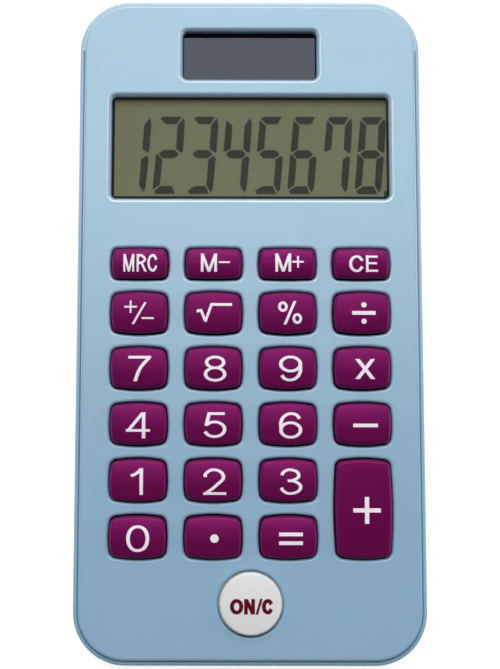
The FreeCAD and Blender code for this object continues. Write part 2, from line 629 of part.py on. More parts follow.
def key_mat():
    """Silicone sheet with a hollow dome and an inner plunger under each key."""
    low_y = ON_KEY_Y - DOME_FOOT_RADIUS - MAT_MARGIN
    high_y = FIELD_TOP_Y + MAT_TOP_MARGIN
    base_top = BOARD_TOP_Z + MAT_BASE
    sheet = plate(FIELD_WIDTH + 2 * MAT_MARGIN, high_y - low_y, BOARD_CORNER, BOARD_TOP_Z, base_top,
                  0, (low_y + high_y) / 2)
    dome_top = FLANGE_Z
    ceiling = dome_top - DOME_SKIN
    plunger_z = BOARD_TOP_Z + KEY_TRAVEL
    section = [(0, dome_top), (DOME_TOP_RADIUS, dome_top), (DOME_FOOT_RADIUS, base_top),
               (DOME_FOOT_RADIUS, BOARD_TOP_Z), (DOME_FOOT_RADIUS - DOME_SKIN, BOARD_TOP_Z),
               (DOME_TOP_RADIUS - DOME_SKIN, ceiling), (PLUNGER_RADIUS, ceiling),
               (PLUNGER_RADIUS, plunger_z), (0, plunger_z)]
    wire = rounded_wire([(r, z, 0) for r, z in section], lambda p: vec(p.x, 0, p.y))
    dome = Part.Face(wire).revolve(vec(0, 0), UP, 360)
    hole = rod(DOME_FOOT_RADIUS - DOME_SKIN / 2, BOARD_TOP_Z, base_top)
    holes = [moved(hole, x, y) for _, _, x, y in key_places()]
    holes += [rod(CASE_BOSS_RADIUS + MAT_CLEARANCE, BOARD_TOP_Z, base_top, x, y)
              for x, y in case_screw_places()]
    holes += [rod(BOARD_BOSS_RADIUS + MAT_CLEARANCE, BOARD_TOP_Z, base_top, x, y)
              for x, y in board_screw_places()]
    domes = [moved(dome, x, y) for _, _, x, y in key_places()]
    return sheet.cut(holes).multiFuse(domes).removeSplitter()


def circuit_board():
    half = BOARD_WIDTH / 2
    low_corner = CASE_CORNER - SIDE_WALL - BOARD_GAP
    wire = rounded_wire([(half, BOARD_HIGH_Y, BOARD_CORNER), (-half, BOARD_HIGH_Y, BOARD_CORNER),
                         (-half, BOARD_LOW_Y, low_corner), (half, BOARD_LOW_Y, low_corner)],
                        lambda p: vec(p.x, p.y, BOARD_Z))
    board = Part.Face(wire).extrude(vec(0, 0, BOARD_THICKNESS))
    holes = [rod(CASE_BOSS_RADIUS + BOARD_GAP, BOARD_Z, BOARD_TOP_Z, x, y) for x, y in case_screw_places()]
    holes += [rod(BOARD_SCREW_RADIUS + SCREW_CLEARANCE, BOARD_Z, BOARD_TOP_Z, x, y)
              for x, y in board_screw_places()]
    return board.cut(holes).Solids[0]


def chip_glob_top():
    """Drop of epoxy over the bare chip, on the underside of the board."""
    radius = (CHIP_RADIUS ** 2 + CHIP_HEIGHT ** 2) / (2 * CHIP_HEIGHT)
    ball = Part.makeSphere(radius, vec(0, row_y(1), BOARD_Z - CHIP_HEIGHT + radius))
    return ball.common(rod(CHIP_RADIUS, BOARD_Z - CHIP_HEIGHT, BOARD_Z, 0, row_y(1)))


def component(size, x, y):
    """Small block soldered to the underside of the board."""
    length, width, height = size
    return block(x - length / 2, y - width / 2, BOARD_Z - height, x + length / 2, y + width / 2, BOARD_Z)


def glass_sheet(low_y, inset, low_z, high_z):
    high_y = DISPLAY_Y + GLASS_LENGTH / 2
    half = GLASS_WIDTH / 2
    return block(-half + inset, low_y + inset, low_z, half - inset, high_y - inset, high_z)


def lead_tube(x):
    """Solder-ended wire from the back of the solar cell to the underside of the board."""
    high_z = SOLAR_CELL_Z - LEAD_RADIUS
    low_z = BOARD_Z - LEAD_RADIUS
    bend_y = SOLAR_Y - SOLAR_LENGTH / 2 + LEAD_PAD_LENGTH / 2
    route = [(bend_y + LEAD_PAD_LENGTH, high_z), (bend_y, high_z), (bend_y - LEAD_FALL, low_z),
             (BOARD_HIGH_Y - LEAD_PAD_LENGTH, low_z)]
    edges = []
    start = vec(x, *route[0])
    for before, here, after in zip(route, route[1:], route[2:]):
        corner = vec(x, *here)
        back = (vec(x, *before) - corner).normalize()
        ahead = (vec(x, *after) - corner).normalize()
        half = back.getAngle(ahead) / 2
        trim = LEAD_PAD_LENGTH * 0.4
        radius = trim * math.tan(half)
        bulge = corner + (back + ahead).normalize() * (radius / math.sin(half) - radius)
        edges.append(Part.makeLine(start, corner + back * trim))
        edges.append(Part.Arc(corner + back * trim, bulge, corner + ahead * trim).toShape())
        start = corner + ahead * trim
    edges.append(Part.makeLine(start, vec(x, *route[-1])))
    path = Part.Wire(edges)
    ring = Part.Wire(Part.makeCircle(LEAD_RADIUS, vec(x, *route[0]), vec(0, 1, 0)))
    return path.makePipeShell([ring], True, False)


def strip(points, x):
    """Spring-metal strip: a closed (y, z) outline, as wide as a contact, centred on x."""
    wire = rounded_wire([(y, z, 0) for y, z in points], lambda p: vec(x - CONTACT_WIDTH / 2, p.x, p.y))
    return Part.Face(wire).extrude(vec(CONTACT_WIDTH, 0, 0))


def battery_contact_positive():
    """Tongue under the board, turned down to bear on the side of the cell."""
    start = BOARD_HIGH_Y - CONTACT_SOLDER_LENGTH
    end = CELL_Y - CELL_RADIUS - SCREW_CLEARANCE
    low_z = BOARD_Z - CONTACT_THICKNESS
    tip_z = PAD_TOP_Z + CELL_CLEARANCE
    return strip([(start, BOARD_Z), (end, BOARD_Z), (end, tip_z), (end - CONTACT_THICKNESS, tip_z),
                  (end - CONTACT_THICKNESS, low_z), (start, low_z)], 0)


def battery_contact_negative():
    """Tongue under the board, stepped up past its edge to bear on the cap of the cell."""
    start = BOARD_HIGH_Y - CONTACT_SOLDER_LENGTH
    rise = BOARD_HIGH_Y + CELL_CLEARANCE
    low_z = BOARD_Z - CONTACT_THICKNESS
    top_z = CELL_TOP_Z + CONTACT_THICKNESS
    return strip([(start, BOARD_Z), (rise, BOARD_Z), (rise, top_z), (CELL_Y, top_z), (CELL_Y, CELL_TOP_Z),
                  (rise + CONTACT_THICKNESS, CELL_TOP_Z), (rise + CONTACT_THICKNESS, low_z),
                  (start, low_z)], NEGATIVE_CONTACT_X)


def button_cell():
    can = rod(CELL_RADIUS, DOOR_TOP_Z, CELL_TOP_Z - CELL_CAP_HEIGHT, 0, CELL_Y)
    can = can.makeFillet(CELL_CAP_HEIGHT / 2, can.Edges)
    cap = rod(CELL_CAP_RADIUS, CELL_TOP_Z - CELL_CAP_HEIGHT, CELL_TOP_Z, 0, CELL_Y)
    return can.fuse(cap).removeSplitter()


def keys():
    """Node name and solid of every key."""
    caps = {"low": key_cap(LOW_KEY_HOLE_LENGTH, LOW_KEY_BOW, LOW_KEY_CORNER),
            "full": key_cap(KEY_HOLE_LENGTH, KEY_BOW, KEY_CORNER),
            "tall": key_cap(PLUS_HOLE_LENGTH, KEY_BOW, KEY_CORNER),
            "round": on_key_cap()}
    return {"key_" + name: moved(caps[kind], x, y) for name, kind, x, y in key_places()}


def group(shape, places):
    return Part.makeCompound([moved(shape, x, y) for x, y in places])


def parts():
    """Every node of the calculator, by name."""
    solar_width = SOLAR_WIDTH + 2 * SOLAR_MARGIN
    solar_length = SOLAR_LENGTH + 2 * SOLAR_MARGIN
    cell_width = solar_width - 2 * SOLAR_CELL_MARGIN
    cell_length = solar_length - 2 * SOLAR_CELL_MARGIN
    half_connector = CONNECTOR_LENGTH / 2
    half_strip = CONNECTOR_WIDTH / 2
    foam = block(-FOAM_LENGTH / 2, FOAM_Y - FOAM_WIDTH / 2, REFLECTOR_Z - FOAM_THICKNESS,
                 FOAM_LENGTH / 2, FOAM_Y + FOAM_WIDTH / 2, REFLECTOR_Z)
    back_y = LEDGE_Y + LEDGE_LENGTH
    made = {
        "front_case": front_case(),
        "rear_case": rear_case(),
        "display_window": plate(GLASS_WIDTH, GLASS_LENGTH, OPENING_CORNER, WINDOW_Z, WINDOW_TOP_Z,
                                0, DISPLAY_Y),
        "display_tape": frame(DISPLAY_WIDTH + 2 * TAPE_INSET, DISPLAY_LENGTH + 2 * TAPE_INSET,
                              WINDOW_MARGIN - TAPE_INSET, OPENING_CORNER, POLARIZER_TOP_Z, WINDOW_Z,
                              0, DISPLAY_Y),
        "solar_window": plate(solar_width, solar_length, OPENING_CORNER, SOLAR_CELL_TOP_Z, SOLAR_TOP_Z,
                              0, SOLAR_Y),
        "key_mat": key_mat(),
        "circuit_board": circuit_board(),
        "chip_glob_top": chip_glob_top(),
        "chip_capacitors": group(component(CAPACITOR_SIZE, 0, LOW_ROW_Y),
                                 [(COMPONENT_X, 0), (COMPONENT_X + CAPACITOR_SPACING, 0)]),
        "chip_resistor": component(RESISTOR_SIZE, -COMPONENT_X, LOW_ROW_Y),
        "blocking_diode": component(DIODE_SIZE, 0, LOW_ROW_Y),
        "lcd_front_polarizer": glass_sheet(back_y, GLASS_GAP, GLASS_TOP_Z, POLARIZER_TOP_Z),
        "lcd_front_glass": glass_sheet(LEDGE_Y, 0, GLASS_MIDDLE_Z, GLASS_TOP_Z),
        "lcd_rear_glass": glass_sheet(back_y, 0, GLASS_BOTTOM_Z, GLASS_MIDDLE_Z),
        "lcd_reflector": glass_sheet(back_y, GLASS_GAP, REFLECTOR_Z, GLASS_BOTTOM_Z),
        "lcd_connector": block(-half_connector, CONNECTOR_Y - half_strip, BOARD_TOP_Z,
                               half_connector, CONNECTOR_Y + half_strip, GLASS_MIDDLE_Z),
        "lcd_foam_pads": group(foam, [(FOAM_X, 0), (-FOAM_X, 0)]),
        "solar_cell": plate(cell_width, cell_length, SCREW_CLEARANCE, SOLAR_CELL_Z, SOLAR_CELL_TOP_Z,
                            0, SOLAR_Y),
        "solar_lead_positive": lead_tube(LEAD_X),
        "solar_lead_negative": lead_tube(-LEAD_X),
        "button_cell": button_cell(),
        "battery_contact_positive": battery_contact_positive(),
        "battery_contact_negative": battery_contact_negative(),
        "battery_door": battery_door(),
        "battery_door_screw": flat_screw(),
        "case_screws": group(pan_screw(CASE_SCREW_RADIUS, CASE_SCREW_LENGTH, CASE_HEAD_RADIUS,
                                       CASE_HEAD_HEIGHT, SCREW_SEAT_Z), case_screw_places()),
        "board_screws": group(pan_screw(BOARD_SCREW_RADIUS, BOARD_SCREW_LENGTH, BOARD_HEAD_RADIUS,
                                        BOARD_HEAD_HEIGHT, BOARD_Z), board_screw_places()),
        "rubber_feet": group(rubber_foot(), foot_places()),
    }
    made.update(keys())
    return made


os.makedirs("parts", exist_ok=True)
for node, shape in parts().items():
    if not shape.isValid():
        raise ValueError(node + " is not a valid solid")
    shape.exportStep("parts/" + node + ".step")
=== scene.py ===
import math

import bmesh
import bpy
from bpy.props import FloatProperty, FloatVectorProperty, PointerProperty, StringProperty
from mathutils import Matrix, Vector
from mathutils.bvhtree import BVHTree
from mathutils.geometry import delaunay_2d_cdt


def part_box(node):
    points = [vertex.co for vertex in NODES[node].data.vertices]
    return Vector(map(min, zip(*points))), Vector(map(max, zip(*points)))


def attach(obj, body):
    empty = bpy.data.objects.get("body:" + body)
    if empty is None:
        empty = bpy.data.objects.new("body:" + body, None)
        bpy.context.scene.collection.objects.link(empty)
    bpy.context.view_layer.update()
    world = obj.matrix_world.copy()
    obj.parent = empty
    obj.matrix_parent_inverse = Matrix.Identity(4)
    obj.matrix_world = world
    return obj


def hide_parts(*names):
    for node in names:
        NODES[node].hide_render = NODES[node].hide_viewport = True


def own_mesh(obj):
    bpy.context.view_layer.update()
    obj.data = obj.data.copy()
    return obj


bl_info = {
    "name": "Solar pocket calculator",
    "version": (1, 0, 0),
    "blender": (4, 5, 0),
    "location": "3D View > Sidebar > Calculator",
    "description": "Finishes, printed legends, display digits and stage of a solar pocket calculator",
    "category": "Object",
}

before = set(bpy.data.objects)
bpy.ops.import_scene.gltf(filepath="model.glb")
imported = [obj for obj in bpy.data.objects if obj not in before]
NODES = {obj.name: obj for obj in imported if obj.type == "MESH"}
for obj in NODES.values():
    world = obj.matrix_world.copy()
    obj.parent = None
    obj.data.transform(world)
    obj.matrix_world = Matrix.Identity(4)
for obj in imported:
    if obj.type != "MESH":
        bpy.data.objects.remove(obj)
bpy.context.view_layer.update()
MM = 0.001
KEY_NODES = sorted(name for name in NODES if name.startswith("key_") and name != "key_mat")
FACE_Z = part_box("front_case")[1].z

# Photograph and camera sensor
IMAGE_HEIGHT_PX = 669
SENSOR_MM = 36.0

# Openings of the front shell, and the black lines in them: painted shade of the openings' walls, and the
# display tape's black edge
DISPLAY_WIDTH = 49.9 * MM
DISPLAY_LENGTH = 18.7 * MM
SOLAR_WIDTH = 24.2 * MM
SOLAR_LENGTH = 8.9 * MM
# Display line margins: the tape's black edge, and painted shade of the opening's right wall
DISPLAY_MARGINS = (0.5 * MM, 0.15 * MM, 0.7 * MM, 0.1 * MM)
# Solar line margins, widest at the top: painted shadow and reflection of the opening's upper wall on the pane
SOLAR_MARGINS = (0.15 * MM, 0.2 * MM, 0.2 * MM, 0.8 * MM)
MASK_REACH = 0.3 * MM
MASK_BLACK = (0.004, 0.005, 0.009)

# Printed ink, whose flat signs are drawn in millimetres
INK_THICKNESS = 0.03 * MM
INK_STEP = 0.5
INK_WELD = 1e-4
INK_CUT = 1e-6
LONGEST_INK_EDGE = 1.0
INK_EDGE_CUTS = 9
DOT_SEGMENTS = 40
CURVE_STEPS = 10
ARC_STEP = 45

# Key mat, parted into its sheet and its domes
MAT_SPLIT = 0.55 * MM
MAT_WELD = 1e-6
MAT_CUT = 1e-7
DOME_REACH = 3.6 * MM

# Noise levels between which a finish varies
NOISE_LOW = 0.3
NOISE_HIGH = 0.7

# Case finish: painted shade in the creases, and rounded edges that shine, fading towards the key end as a
# painted highlight
CREASE_SHADE_REACH = 0.6 * MM
CREASE_SHADE_TINT = (0.38, 0.6, 0.68)
CREASE_SHADE_SAMPLES = 8
CASE_ROUGHNESS = 0.31
CASE_SHEEN = (0.88, 1.0, 0.86, 1.0)
CASE_EDGE_LEAN = (0.997, 0.97)
# Painted highlight: where along the case the edge coat is gone and where it is whole
CASE_EDGE_HIGHLIGHT_FADE = (-20 * MM, 22 * MM)

# Key finish
KEY_ROUGHNESS = 0.38
KEY_SHEEN = (1.0, 0.1, 0.66, 1.0)
KEY_EDGE_LEAN = (0.99, 0.94)
# Edges of the double key's shaded copy of the finish, a painted highlight along its top
DOUBLE_KEY_EDGE_LEAN = (0.9965, 0.985)

# Solar cell and connector strip
SOLAR_STRIPES = 50.0
SOLAR_DARK = (0.02, 0.022, 0.03)
SOLAR_LINE = (0.25, 0.25, 0.27)
CONNECTOR_STRIPES = 900.0
CONNECTOR_DARK = (0.02, 0.02, 0.02)
CONNECTOR_LIGHT = (0.5, 0.4, 0.42)

# Room light and floor
ROOM_LOW = (0.95, 0.98, 1.0)
ROOM_OVERHEAD = (0.14, 0.15, 0.16)
ROOM_NEAR = 0.15
ROOM_FAR = 1.4
FLOOR_REACH = 12.0
FLOOR_CELLS = 8


def srgb(red, green, blue):
    """Linear colour of an 8-bit screen colour."""
    return tuple(((level / 255 + 0.055) / 1.055) ** 2.4 if level > 10 else level / 255 / 12.92
                 for level in (red, green, blue))


def colour_property(name, description, colour):
    """Setting that holds a colour."""
    return FloatVectorProperty(name=name, description=description, default=colour, size=3,
                               subtype="COLOR", min=0.0, max=1.0)


def length_property(name, description, millimetres):
    """Setting that holds a length, given in millimetres."""
    return FloatProperty(name=name, description=description, default=millimetres * MM,
                         subtype="DISTANCE", unit="LENGTH", precision=5)


def angle_property(name, description, degrees):
    """Setting that holds an angle, given in degrees."""
    return FloatProperty(name=name, description=description, default=math.radians(degrees),
                         subtype="ANGLE", unit="ROTATION")


class CALC_PG_finish(bpy.types.PropertyGroup):
    """Colours of the moulded and printed surfaces."""
    case_blue: colour_property("Case", "Light blue of the two shells", srgb(147, 185, 213))
    key_purple: colour_property("Keys", "Purple of the moulded keys", srgb(102, 13, 72))
    key_white: colour_property("ON key", "White of the round key", srgb(236, 236, 237))
    legend_white: colour_property("Legends", "Ink printed on the purple keys", srgb(254, 243, 254))
    legend_maroon: colour_property("ON legend", "Ink printed on the round key", srgb(98, 0, 32))
    film: colour_property("Display film", "Grey-green polarising film", srgb(124, 125, 94))
    segment: colour_property("Segments", "Dark display segments", srgb(52, 51, 43))
    smoked: colour_property("Solar window", "Smoked pane over the solar cell", srgb(36, 52, 63))


class CALC_PG_display(bpy.types.PropertyGroup):
    """Sizes of the display digits."""
    digits: StringProperty(name="Digits", description="Number on the display", default="12345678")
    digit_pitch: length_property("Digit pitch", "From one digit to the next", 6.08)
    last_digit_x: length_property("Last digit", "Left foot of the last digit from the middle", 18.87)
    digit_low: length_property("Digit foot", "Foot of the digits above the opening's lower edge", 1.1)
    slant: FloatProperty(name="Slant", description="Lean of the digits to the right", default=0.088)
    ink_lift: length_property("Ink lift", "Height of printed ink over its surface", 0.02)


class CALC_PG_stage(bpy.types.PropertyGroup):
    """Camera, light and floor."""
    camera_x: length_property("Camera X", "Camera place across the case", -5.0)
    camera_y: length_property("Camera Y", "Camera place along the case", -25.29)
    camera_rise: length_property("Camera rise", "Camera height over the face", 220.0)
    tilt: angle_property("Tilt", "Camera tilt towards the display end", 6.09)
    yaw: angle_property("Yaw", "Camera turn to the right", -0.06)
    roll: angle_property("Roll", "Camera roll", 0.09)
    focal_px: FloatProperty(name="Focal length", description="In photograph pixels", default=1252.0)
    centre_px: FloatProperty(name="Centre", description="Principal point right of the middle", default=-27.0)
    lamp_power: FloatProperty(name="Lamp", description="Main lamp, watts", default=13.5)
    fill: FloatProperty(name="Fill", description="Soft light from all round", default=0.36)
    lamp_size: length_property("Lamp size", "Across the lamp's disc", 1150.0)
    lamp_place: FloatVectorProperty(name="Lamp place", description="Where the lamp hangs, in metres",
                                    default=(0.0, 0.6, 1.04), size=3, subtype="XYZ")
    left_power: FloatProperty(name="Left lamp", description="Low lamp on the left, watts", default=0.13)
    right_power: FloatProperty(name="Right lamp", description="Low lamp on the right, watts", default=0.24)
    side_reach: length_property("Side reach", "Side lamps from the middle", 330.0)
    side_height: length_property("Side height", "Side lamps over the floor", 50.0)
    side_size: length_property("Side lamp size", "Across each side lamp's disc", 220.0)
    floor: colour_property("Floor", "Pale plain floor", (0.5, 0.5, 0.5))
    floor_glow: FloatProperty(name="Floor glow", description="Light of the floor's own, as seen",
                              default=0.83)


class CALC_PG_settings(bpy.types.PropertyGroup):
    """All the sizes and colours of the calculator."""
    finish: PointerProperty(type=CALC_PG_finish)
    display: PointerProperty(type=CALC_PG_display)
    stage: PointerProperty(type=CALC_PG_stage)


def settings(context):
    """The scene's own settings of the calculator."""
    return context.scene.calculator


class Shader:
    """A material's node tree with a Principled shader, and short ways to add to it."""

    def __init__(self, name, colour, roughness, **values):
        self.material = bpy.data.materials.new(name)
        self.material.use_nodes = True
        self.nodes = self.material.node_tree.nodes
        self.links = self.material.node_tree.links
        self.bsdf = self.nodes["Principled BSDF"]
        self.colour = (*colour, 1.0)
        self.bsdf.inputs["Base Color"].default_value = self.colour
        self.bsdf.inputs["Roughness"].default_value = roughness
        for socket, value in values.items():
            self.bsdf.inputs[socket.replace("_", " ")].default_value = value
        self.place = self.nodes.new("ShaderNodeTexCoord").outputs["Object"]

    def noise(self, grain):
        """Noise whose grains are about this many metres across."""
        node = self.nodes.new("ShaderNodeTexNoise")
        node.inputs["Scale"].default_value = 1.0 / grain
        self.links.new(self.place, node.inputs["Vector"])
        return node.outputs["Fac"]

    def ramp(self, factor, stops):
        """Colour ramp of (position, colour) stops."""
        node = self.nodes.new("ShaderNodeValToRGB")
        while len(node.color_ramp.elements) < len(stops):
            node.color_ramp.elements.new(1.0)
        for element, (position, colour) in zip(node.color_ramp.elements, stops):
            element.position = position
            element.color = (*colour[:3], 1.0)
        self.links.new(factor, node.inputs["Fac"])
        return node.outputs["Color"]

    def map_range(self, value, start, end, low, high):
        """Carry a value from one range over to another, held at its ends."""
        node = self.nodes.new("ShaderNodeMapRange")
        node.inputs["From Min"].default_value = start
        node.inputs["From Max"].default_value = end
        node.inputs["To Min"].default_value = low
        node.inputs["To Max"].default_value = high
        self.links.new(value, node.inputs["Value"])
        return node.outputs["Result"]

    def combine(self, operation, first, second):
        """One value of two, by a named operation of the Math node."""
        node = self.nodes.new("ShaderNodeMath")
        node.operation = operation
        self.links.new(first, node.inputs[0])
        self.links.new(second, node.inputs[1])
        return node.outputs["Value"]

    def part(self, vector, axis):
        """One axis of a vector."""
        node = self.nodes.new("ShaderNodeSeparateXYZ")
        self.links.new(vector, node.inputs["Vector"])
        return node.outputs[axis]

    def mottle(self, grain, spread):
        """Vary the base colour a little in soft patches."""
        dark = [level * (1 - spread) for level in self.colour[:3]]
        light = [min(1.0, level * (1 + spread)) for level in self.colour[:3]]
        patches = self.ramp(self.noise(grain), [(NOISE_LOW, dark), (NOISE_HIGH, light)])
        self.links.new(patches, self.bsdf.inputs["Base Color"])
        return self

    def stripe(self, scale, stops):
        """Colour the base in even stripes across the case, by (position, colour) stops."""
        node = self.nodes.new("ShaderNodeTexWave")
        node.inputs["Scale"].default_value = scale
        self.links.new(self.place, node.inputs["Vector"])
        self.links.new(self.ramp(node.outputs["Fac"], stops), self.bsdf.inputs["Base Color"])
        return self

    def paint_crease_shade(self, reach, tint):
        """Painted shade: tint the base colour in creases narrower than this many metres, where ambient
        occlusion finds them.
        """
        depth = self.nodes.new("ShaderNodeAmbientOcclusion")
        depth.samples = CREASE_SHADE_SAMPLES
        depth.only_local = True
        depth.inputs["Distance"].default_value = reach
        mix = self.nodes.new("ShaderNodeMixRGB")
        crease = [level * share for level, share in zip(self.colour, tint)]
        mix.inputs["Color1"].default_value = (*crease, 1.0)
        base = self.bsdf.inputs["Base Color"]
        self.links.new(depth.outputs["AO"], mix.inputs["Fac"])
        self.links.new(base.links[0].from_socket, mix.inputs["Color2"])
        self.links.new(mix.outputs["Color"], base)
        return self

    def sheen_patches(self, grain, low, high):
        """Vary the roughness between two values in patches."""
        patches = self.map_range(self.noise(grain), NOISE_LOW, NOISE_HIGH, low, high)
        self.links.new(patches, self.bsdf.inputs["Roughness"])
        return self

    def grain(self, size, strength, depth):
        """Raise the surface in a fine texture, with grains of this size and depth in metres."""
        node = self.nodes.new("ShaderNodeBump")
        node.inputs["Strength"].default_value = strength
        node.inputs["Distance"].default_value = depth
        self.links.new(self.noise(size), node.inputs["Height"])
        self.links.new(node.outputs["Normal"], self.bsdf.inputs["Normal"])
        return self

    def on_edges(self, socket, face, edge, lean, fade=None):
        """Give the rounded edges, which the mould leaves shinier, another value than the level faces.

        Lean is the upward part of the normal where an edge begins and where it is full. Fade is the place
        along the case where the value is gone, and the one where it is whole: a painted highlight, strongest
        towards the display end where the lamp's glints fall.
        """
        value = self.map_range(self.part(self.place.node.outputs["Normal"], "Z"), *lean, face, edge)
        if fade:
            share = self.map_range(self.part(self.place, "Y"), *fade, 0.0, 1.0)
            value = self.combine("MULTIPLY", value, share)
        self.links.new(value, self.bsdf.inputs[socket])
        return self

    def glow_when_seen(self, strength):
        """Add light of its own for the camera, mirrors and glass, and none that falls on other things."""
        path = self.nodes.new("ShaderNodeLightPath")
        seen = path.outputs["Is Camera Ray"]
        for kind in ("Is Glossy Ray", "Is Transmission Ray"):
            seen = self.combine("ADD", seen, path.outputs[kind])
        self.links.new(self.map_range(seen, 0.0, 1.0, 0.0, strength), self.bsdf.inputs["Emission Strength"])
        return self


def finish_node(name, shader):
    """Give a CAD node one finish."""
    mesh = NODES[name].data
    mesh.materials.clear()
    mesh.materials.append(shader.material)


def satin_plastic(name, colour, roughness, **values):
    """Moulded satin plastic: faint flow patches and a fine spark-eroded grain."""
    shader = Shader(name, colour, roughness, **values)
    shader.mottle(9 * MM, 0.012)
    shader.sheen_patches(3 * MM, roughness - 0.02, roughness + 0.02)
    return shader.grain(0.12 * MM, 0.12, 0.02 * MM)


def plain_metal(name, colour, roughness, grain):
    """Plated metal with fine brush marks."""
    shader = Shader(name, colour, roughness, Metallic=1.0)
    shader.mottle(2 * MM, 0.06)
    return shader.grain(grain, 0.15, 0.01 * MM)


def ink_and_painted_shade(name, colour, gloss=0.1):
    """Opaque printed ink, a little uneven in colour and surface; flat black, it also serves as painted shade
    in the openings.
    """
    shader = Shader(name, colour, 0.5, Specular_IOR_Level=gloss)
    shader.mottle(0.6 * MM, 0.03)
    return shader.grain(0.1 * MM, 0.1, 0.01 * MM)


def soft_rubber(name, colour, roughness):
    """Rubber, foam, wire skin or cast resin, finely pitted."""
    shader = Shader(name, colour, roughness)
    shader.mottle(1.5 * MM, 0.08)
    return shader.grain(0.2 * MM, 0.3, 0.03 * MM)


def as_mesh(name, made):
    """Mesh of a finished bmesh, which is given up."""
    mesh = bpy.data.meshes.new(name)
    made.to_mesh(mesh)
    made.free()
    return mesh


def raised(sheet, height):
    """Thicken flat faces upwards into closed slabs."""
    lifted = bmesh.ops.extrude_face_region(sheet, geom=sheet.faces[:], use_keep_orig=True)["geom"]
    bmesh.ops.translate(sheet, verts=[item for item in lifted if isinstance(item, bmesh.types.BMVert)],
                        vec=(0, 0, height))
    bmesh.ops.recalc_face_normals(sheet, faces=sheet.faces)


def new_piece(name, mesh, body, shader):
    """Put a finished mesh into the scene, riding on a body."""
    piece = bpy.data.objects.new(name, mesh)
    bpy.context.scene.collection.objects.link(piece)
    mesh.materials.clear()
    mesh.materials.append(shader.material)
    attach(piece, body)
    return piece


def arc(x, y, across, up, start, end):
    """Smooth points on part of an oval round (x, y), from one angle to another in degrees."""
    count = math.ceil(abs(end - start) / ARC_STEP)
    angles = [math.radians(start + (end - start) * index / count) for index in range(count + 1)]
    return [(round(x + across * math.cos(angle), 4), round(y + up * math.sin(angle), 4), 1)
            for angle in angles]


# Strokes of each sign, on a cap height of 1. A point is (x, y), or (x, y, 1) where the line runs smoothly.
SIGNS = {
    "0": [[(0.07, 0.5, 1), (0.34, 0.93, 1), (0.61, 0.5, 1), (0.34, 0.07, 1), (0.07, 0.5, 1)]],
    "1": [[(0.37, 0), (0.37, 1)], [(0.08, 0.71), (0.24, 0.81, 1), (0.36, 0.97)]],
    "2": [[(0.08, 0.67, 1), (0.1, 0.78, 1), (0.34, 0.93, 1), (0.6, 0.7, 1), (0.42, 0.39, 1), (0.1, 0.07)],
          [(0.03, 0.07), (0.68, 0.07)]],
    "3": [[(0.08, 0.73, 1), (0.11, 0.82, 1), (0.32, 0.93, 1), (0.56, 0.74, 1), (0.4, 0.55, 1), (0.24, 0.53)],
          [(0.26, 0.53), (0.42, 0.52, 1), (0.61, 0.29, 1), (0.33, 0.07, 1), (0.1, 0.19, 1), (0.07, 0.28, 1)]],
    "4": [[(0.5, 0), (0.5, 1)], [(0.5, 1.02), (0.05, 0.27)], [(0.0, 0.3), (0.68, 0.3)]],
    "5": [[(0.16, 0.93), (0.62, 0.93)], [(0.19, 0.98), (0.1, 0.47)],
          arc(0.33, 0.34, 0.285, 0.275, 143, -160)],
    "6": [arc(0.35, 0.7, 0.25, 0.235, 12, 90) + arc(0.35, 0.5, 0.285, 0.435, 90, 195)[1:],
          arc(0.345, 0.33, 0.272, 0.266, -180, 180)],
    "7": [[(0.0, 0.93), (0.68, 0.93)], [(0.63, 0.92), (0.36, 0.5, 1), (0.19, -0.06)]],
    "8": [[(0.34, 0.53, 1), (0.1, 0.74, 1), (0.34, 0.93, 1), (0.58, 0.74, 1), (0.34, 0.53, 1)],
          [(0.34, 0.53, 1), (0.07, 0.29, 1), (0.34, 0.07, 1), (0.61, 0.29, 1), (0.34, 0.53, 1)]],
    "9": [arc(0.33, 0.3, 0.25, 0.235, 195, 270) + arc(0.33, 0.5, 0.285, 0.435, 270, 375)[1:],
          arc(0.335, 0.67, 0.272, 0.266, 0, 360)],
    "M": [[(0.1, 0), (0.1, 1)], [(0.74, 0), (0.74, 1)], [(0.08, 1.06), (0.44, -0.06)],
          [(0.4, -0.06), (0.76, 1.06)]],
    "R": [[(0.1, 0), (0.1, 1)], [(0.1, 0.92), (0.36, 0.92), (0.58, 0.7, 1), (0.36, 0.49), (0.1, 0.49)],
          [(0.34, 0.52), (0.67, -0.06)]],
    "C": [[(0.62, 0.68, 1), (0.37, 0.92, 1), (0.1, 0.5, 1), (0.37, 0.08, 1), (0.62, 0.32, 1)]],
    "E": [[(0.1, 0), (0.1, 1)], [(0.05, 0.92), (0.62, 0.92)], [(0.05, 0.08), (0.64, 0.08)],
          [(0.05, 0.52), (0.58, 0.52)]],
    "O": [[(0.1, 0.5, 1), (0.41, 0.92, 1), (0.72, 0.5, 1), (0.41, 0.08, 1), (0.1, 0.5, 1)]],
    "N": [[(0.1, 0), (0.1, 1)], [(0.62, 0), (0.62, 1)], [(0.06, 1.07), (0.66, -0.07)]],
    "/": [[(-0.03, -0.06), (0.53, 1.06)]],
    "-": [[(0, 0), (1, 0)]],
    "+": [[(0, 0.5), (1, 0.5)], [(0.5, 0), (0.5, 1)]],
    "x": [[(-0.05, -0.1), (0.85, 1.1)], [(-0.05, 1.1), (0.85, -0.1)]],
    "root": [[(0.04, 0.56), (0.27, 0.6)], [(0.25, 0.64), (0.5, 0.05)], [(0.49, 0.03), (0.83, 0.95)],
             [(0.79, 0.9), (1.88, 0.9)]],
    "%": [[(0.07, 0.76, 1), (0.215, 0.93, 1), (0.36, 0.76, 1), (0.215, 0.59, 1), (0.07, 0.76, 1)],
          [(0.67, 0.25, 1), (0.815, 0.42, 1), (0.96, 0.25, 1), (0.815, 0.08, 1), (0.67, 0.25, 1)],
          [(0.275, -0.06), (0.745, 1.06)]],
}
# Signs whose slanting ends are cut off level
LEVEL_SIGNS = "47MRN/x%"


